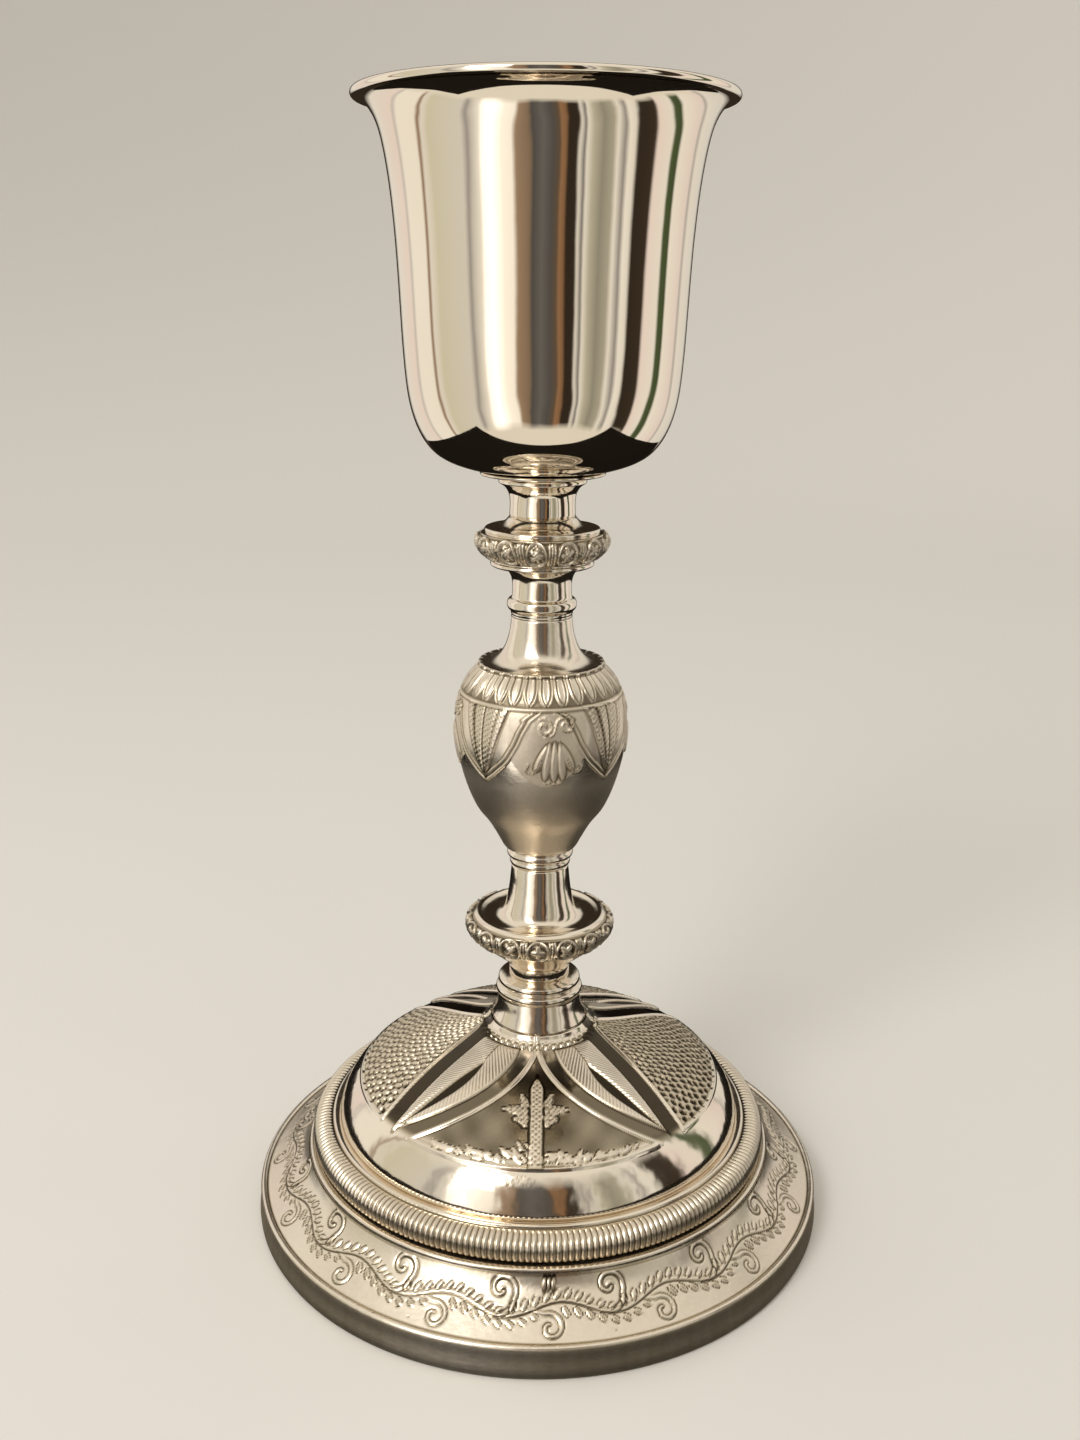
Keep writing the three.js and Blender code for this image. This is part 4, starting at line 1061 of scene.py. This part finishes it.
def staged(name, vertices, faces, colour, roughness, unseen_by):
    """A matt stage surface that lights nothing and casts no shadow."""
    mesh = bpy.data.meshes.new(name)
    mesh.from_pydata(vertices, [], faces)
    mesh.polygons.foreach_set("use_smooth", [True] * len(mesh.polygons))
    surface = placed(name, mesh)
    paint = bpy.data.materials.new(name + "_paint")
    paint.use_nodes = True
    shader = paint.node_tree.nodes["Principled BSDF"]
    shader.inputs["Base Color"].default_value = colour
    shader.inputs["Roughness"].default_value = roughness
    shader.inputs["Specular IOR Level"].default_value = 0.0
    mesh.materials.append(paint)
    for ray in ("diffuse", "transmission", "shadow", unseen_by):
        setattr(surface, "visible_" + ray, False)


def backdrop():
    bend = [math.radians(a) for a in range(0, 91, 6)]
    cove = [(FLOOR_RADIUS + COVE_RADIUS * math.sin(a), COVE_RADIUS * (1 - math.cos(a))) for a in bend]
    flat = [(0.12 * k, 0.0) for k in range(1, 9)]
    profile = flat + cove + [(FLOOR_RADIUS + COVE_RADIUS, WALL_TOP)]
    count = 96
    vertices = [(0.0, 0.0, 0.0)]
    for r, z in profile:
        for k in range(count):
            angle = 2 * math.pi * k / count
            vertices.append((r * math.cos(angle), r * math.sin(angle), z))
    faces = [(0, 1 + k, 1 + (k + 1) % count) for k in range(count)]
    for row in range(len(profile) - 1):
        low, high = 1 + row * count, 1 + (row + 1) * count
        faces += [
            (low + k, high + k, high + (k + 1) % count, low + (k + 1) % count) for k in range(count)
        ]
    staged("floor", vertices, faces, PALE_PAINT, 0.9, "glossy")


# Light: a soft room of pale and dark panels, a dark board for the reflections, and one soft box

CREAM = (1.0, 0.95, 0.85)
ROSE = (1.0, 0.87, 0.80)
GREY = (1.0, 0.94, 0.88)
BROWN = (1.0, 0.70, 0.46)
ORANGE = (1.0, 0.55, 0.28)
OLIVE = (1.0, 0.95, 0.74)
GREEN = (0.72, 1.0, 0.42)

# The room's panels: azimuth in degrees, brightness and tint
ROOM = [
    (-180, 0.03, BROWN), (-162, 0.03, BROWN), (-153, 0.80, CREAM), (-128, 0.85, ROSE),
    (-125, 0.6, GREY), (-121, 0.92, CREAM), (-101, 0.92, CREAM), (-98, 0.24, ORANGE),
    (-95, 0.80, CREAM), (-88, 0.66, OLIVE), (-62, 0.70, CREAM), (-58, 0.34, GREY),
    (-55, 0.60, CREAM), (-49, 0.9, CREAM), (-46, 1.5, GREY), (-38, 1.7, GREY), (-30, 1.15, CREAM),
    (-23, 1.05, CREAM), (-20, 0.34, BROWN), (-13, 0.24, BROWN), (-10, 0.085, GREY), (-3, 0.14, GREY),
    (4, 0.09, GREY), (9, 0.12, BROWN), (11, 0.30, ORANGE), (14, 0.24, ORANGE), (16, 0.035, BROWN),
    (22, 0.035, BROWN), (24, 0.8, CREAM), (27, 0.2, GREY), (29, 0.82, CREAM), (33, 0.5, OLIVE),
    (40, 0.30, OLIVE), (48, 0.42, OLIVE), (52, 0.85, CREAM), (57, 0.3, GREY), (60, 0.9, CREAM),
    (65, 0.8, CREAM), (68, 0.035, BROWN), (81, 0.045, BROWN), (84, 0.85, ROSE), (97, 0.85, CREAM),
    (100, 0.10, GREEN), (106, 0.08, GREEN), (109, 0.88, CREAM), (128, 0.8, ROSE), (131, 0.45, GREY),
    (135, 0.8, CREAM), (155, 0.7, CREAM), (164, 0.03, BROWN),
]
CEILING = (0.86, 0.81, 0.72, 1.0)
CEILING_FROM = {"From Min": 0.60, "From Max": 0.80}
PALE_FLOOR = (0.80, 0.75, 0.64, 1.0)
FLOOR_FROM = {"From Min": -0.66, "From Max": -0.58}
BACKGROUND = (0.82, 0.81, 0.79, 1.0)
BOARD = ((-0.29, -0.138), (0.29, 0.6))
BOARD_DEPTH = -0.0004
BOARD_DARK = (0.012, 0.010, 0.008, 1.0)


def wall_ramp(tree, azimuth, panels):
    """The panels' colours between two azimuths, as one colour ramp."""
    first, last = panels[0][0], panels[-1][0]
    span = {"From Min": math.radians(first), "From Max": math.radians(last)}
    share = node(tree, "ShaderNodeMapRange", **span)
    tree.links.new(azimuth, share.inputs["Value"])
    colours = [
        ((degrees - first) / (last - first), (*(level * part for part in tint), 1.0))
        for degrees, level, tint in panels
    ]
    return colour_ramp(tree, share.outputs[0], colours)


def world_light():
    world = bpy.data.worlds.new("studio")
    bpy.context.scene.world = world
    world.use_nodes = True
    tree = world.node_tree
    shader = tree.nodes["Background"]
    coordinates = tree.nodes.new("ShaderNodeTexCoord")
    parts = tree.nodes.new("ShaderNodeSeparateXYZ")
    tree.links.new(coordinates.outputs["Generated"], parts.inputs[0])
    x, y, z = parts.outputs
    azimuth = maths(tree, "ARCTAN2", x, maths(tree, "MULTIPLY", y, -1.0))
    ripple = node(tree, "ShaderNodeTexNoise", Scale=2.2, Detail=2.0)
    tree.links.new(coordinates.outputs["Generated"], ripple.inputs["Vector"])
    sway = maths(tree, "MULTIPLY", maths(tree, "SUBTRACT", ripple.outputs["Fac"], 0.5), 0.14)
    azimuth = maths(tree, "ADD", azimuth, sway)
    left_panels = [panel for panel in ROOM if panel[0] < 0]
    right_panels = ROOM[len(left_panels) - 1:]
    left = wall_ramp(tree, azimuth, left_panels)
    right = wall_ramp(tree, azimuth, right_panels)
    to_right = maths(tree, "GREATER_THAN", azimuth, math.radians(right_panels[0][0]))
    walls = blend_colour(tree, to_right, left, right)
    high = node(tree, "ShaderNodeMapRange", **CEILING_FROM)
    tree.links.new(z, high.inputs["Value"])
    low = node(tree, "ShaderNodeMapRange", **FLOOR_FROM)
    tree.links.new(maths(tree, "ADD", z, maths(tree, "MULTIPLY", sway, 1.2)), low.inputs["Value"])
    panels = blend_colour(tree, low.outputs[0], PALE_FLOOR, walls)
    room = blend_colour(tree, high.outputs[0], panels, CEILING)
    light = tree.nodes.new("ShaderNodeLightPath")
    seen = blend_colour(tree, light.outputs["Is Camera Ray"], room, BACKGROUND)
    tree.links.new(seen, shader.inputs["Color"])
    shader.inputs["Strength"].default_value = 1.0


def dark_board():
    """What the silver mirrors below itself: a dark board, seen in reflections only."""
    (left, front), (right, back) = BOARD
    corners = [(left, front), (right, front), (right, back), (left, back)]
    corners = [(x, y, BOARD_DEPTH) for x, y in corners]
    staged("dark_board", corners, [(0, 1, 2, 3)], BOARD_DARK, 0.8, "camera")


MIDDLE_HEIGHT = 0.13


def soft_box(name, azimuth, elevation, distance, size, power):
    """A soft box that faces the chalice's middle."""
    lamp = bpy.data.lights.new(name, "AREA")
    lamp.shape = "RECTANGLE"
    lamp.size, lamp.size_y = size
    lamp.energy = power
    lamp.color = (1.0, 0.97, 0.92)
    box = placed(name, lamp)
    a, e = math.radians(azimuth), math.radians(elevation)
    reach = distance * math.cos(e)
    box.location = (reach * math.sin(a), -reach * math.cos(a), distance * math.sin(e) + MIDDLE_HEIGHT)
    box.rotation_euler = (math.radians(90 - elevation), 0, a)


backdrop()
dark_board()
world_light()
soft_box("key_light", azimuth=-36, elevation=38, distance=1.3, size=(0.45, 0.6), power=6.0)
bpy.context.scene.view_settings.view_transform = "Standard"


# Camera at the photograph's angle

PHOTO_LONG_SIDE = 1440
FOCAL_PIXELS = 1412.0
SENSOR = 36.0
CAMERA_PLACE = (-0.25, -327.1, 226.8)
CAMERA_PITCH = 16.63
CAMERA_ROLL = 0.42

lens = bpy.data.cameras.new("camera")
lens.sensor_width = SENSOR
lens.lens = FOCAL_PIXELS / PHOTO_LONG_SIDE * SENSOR
lens.clip_start = 0.01
lens.clip_end = 20.0
camera = placed("camera", lens)
tilt = Matrix.Rotation(math.radians(90 - CAMERA_PITCH), 4, "X")
roll = Matrix.Rotation(math.radians(CAMERA_ROLL), 4, "Z")
camera.matrix_world = Matrix.Translation([v * MM for v in CAMERA_PLACE]) @ tilt @ roll
bpy.context.scene.camera = camera

bpy.context.view_layer.update()
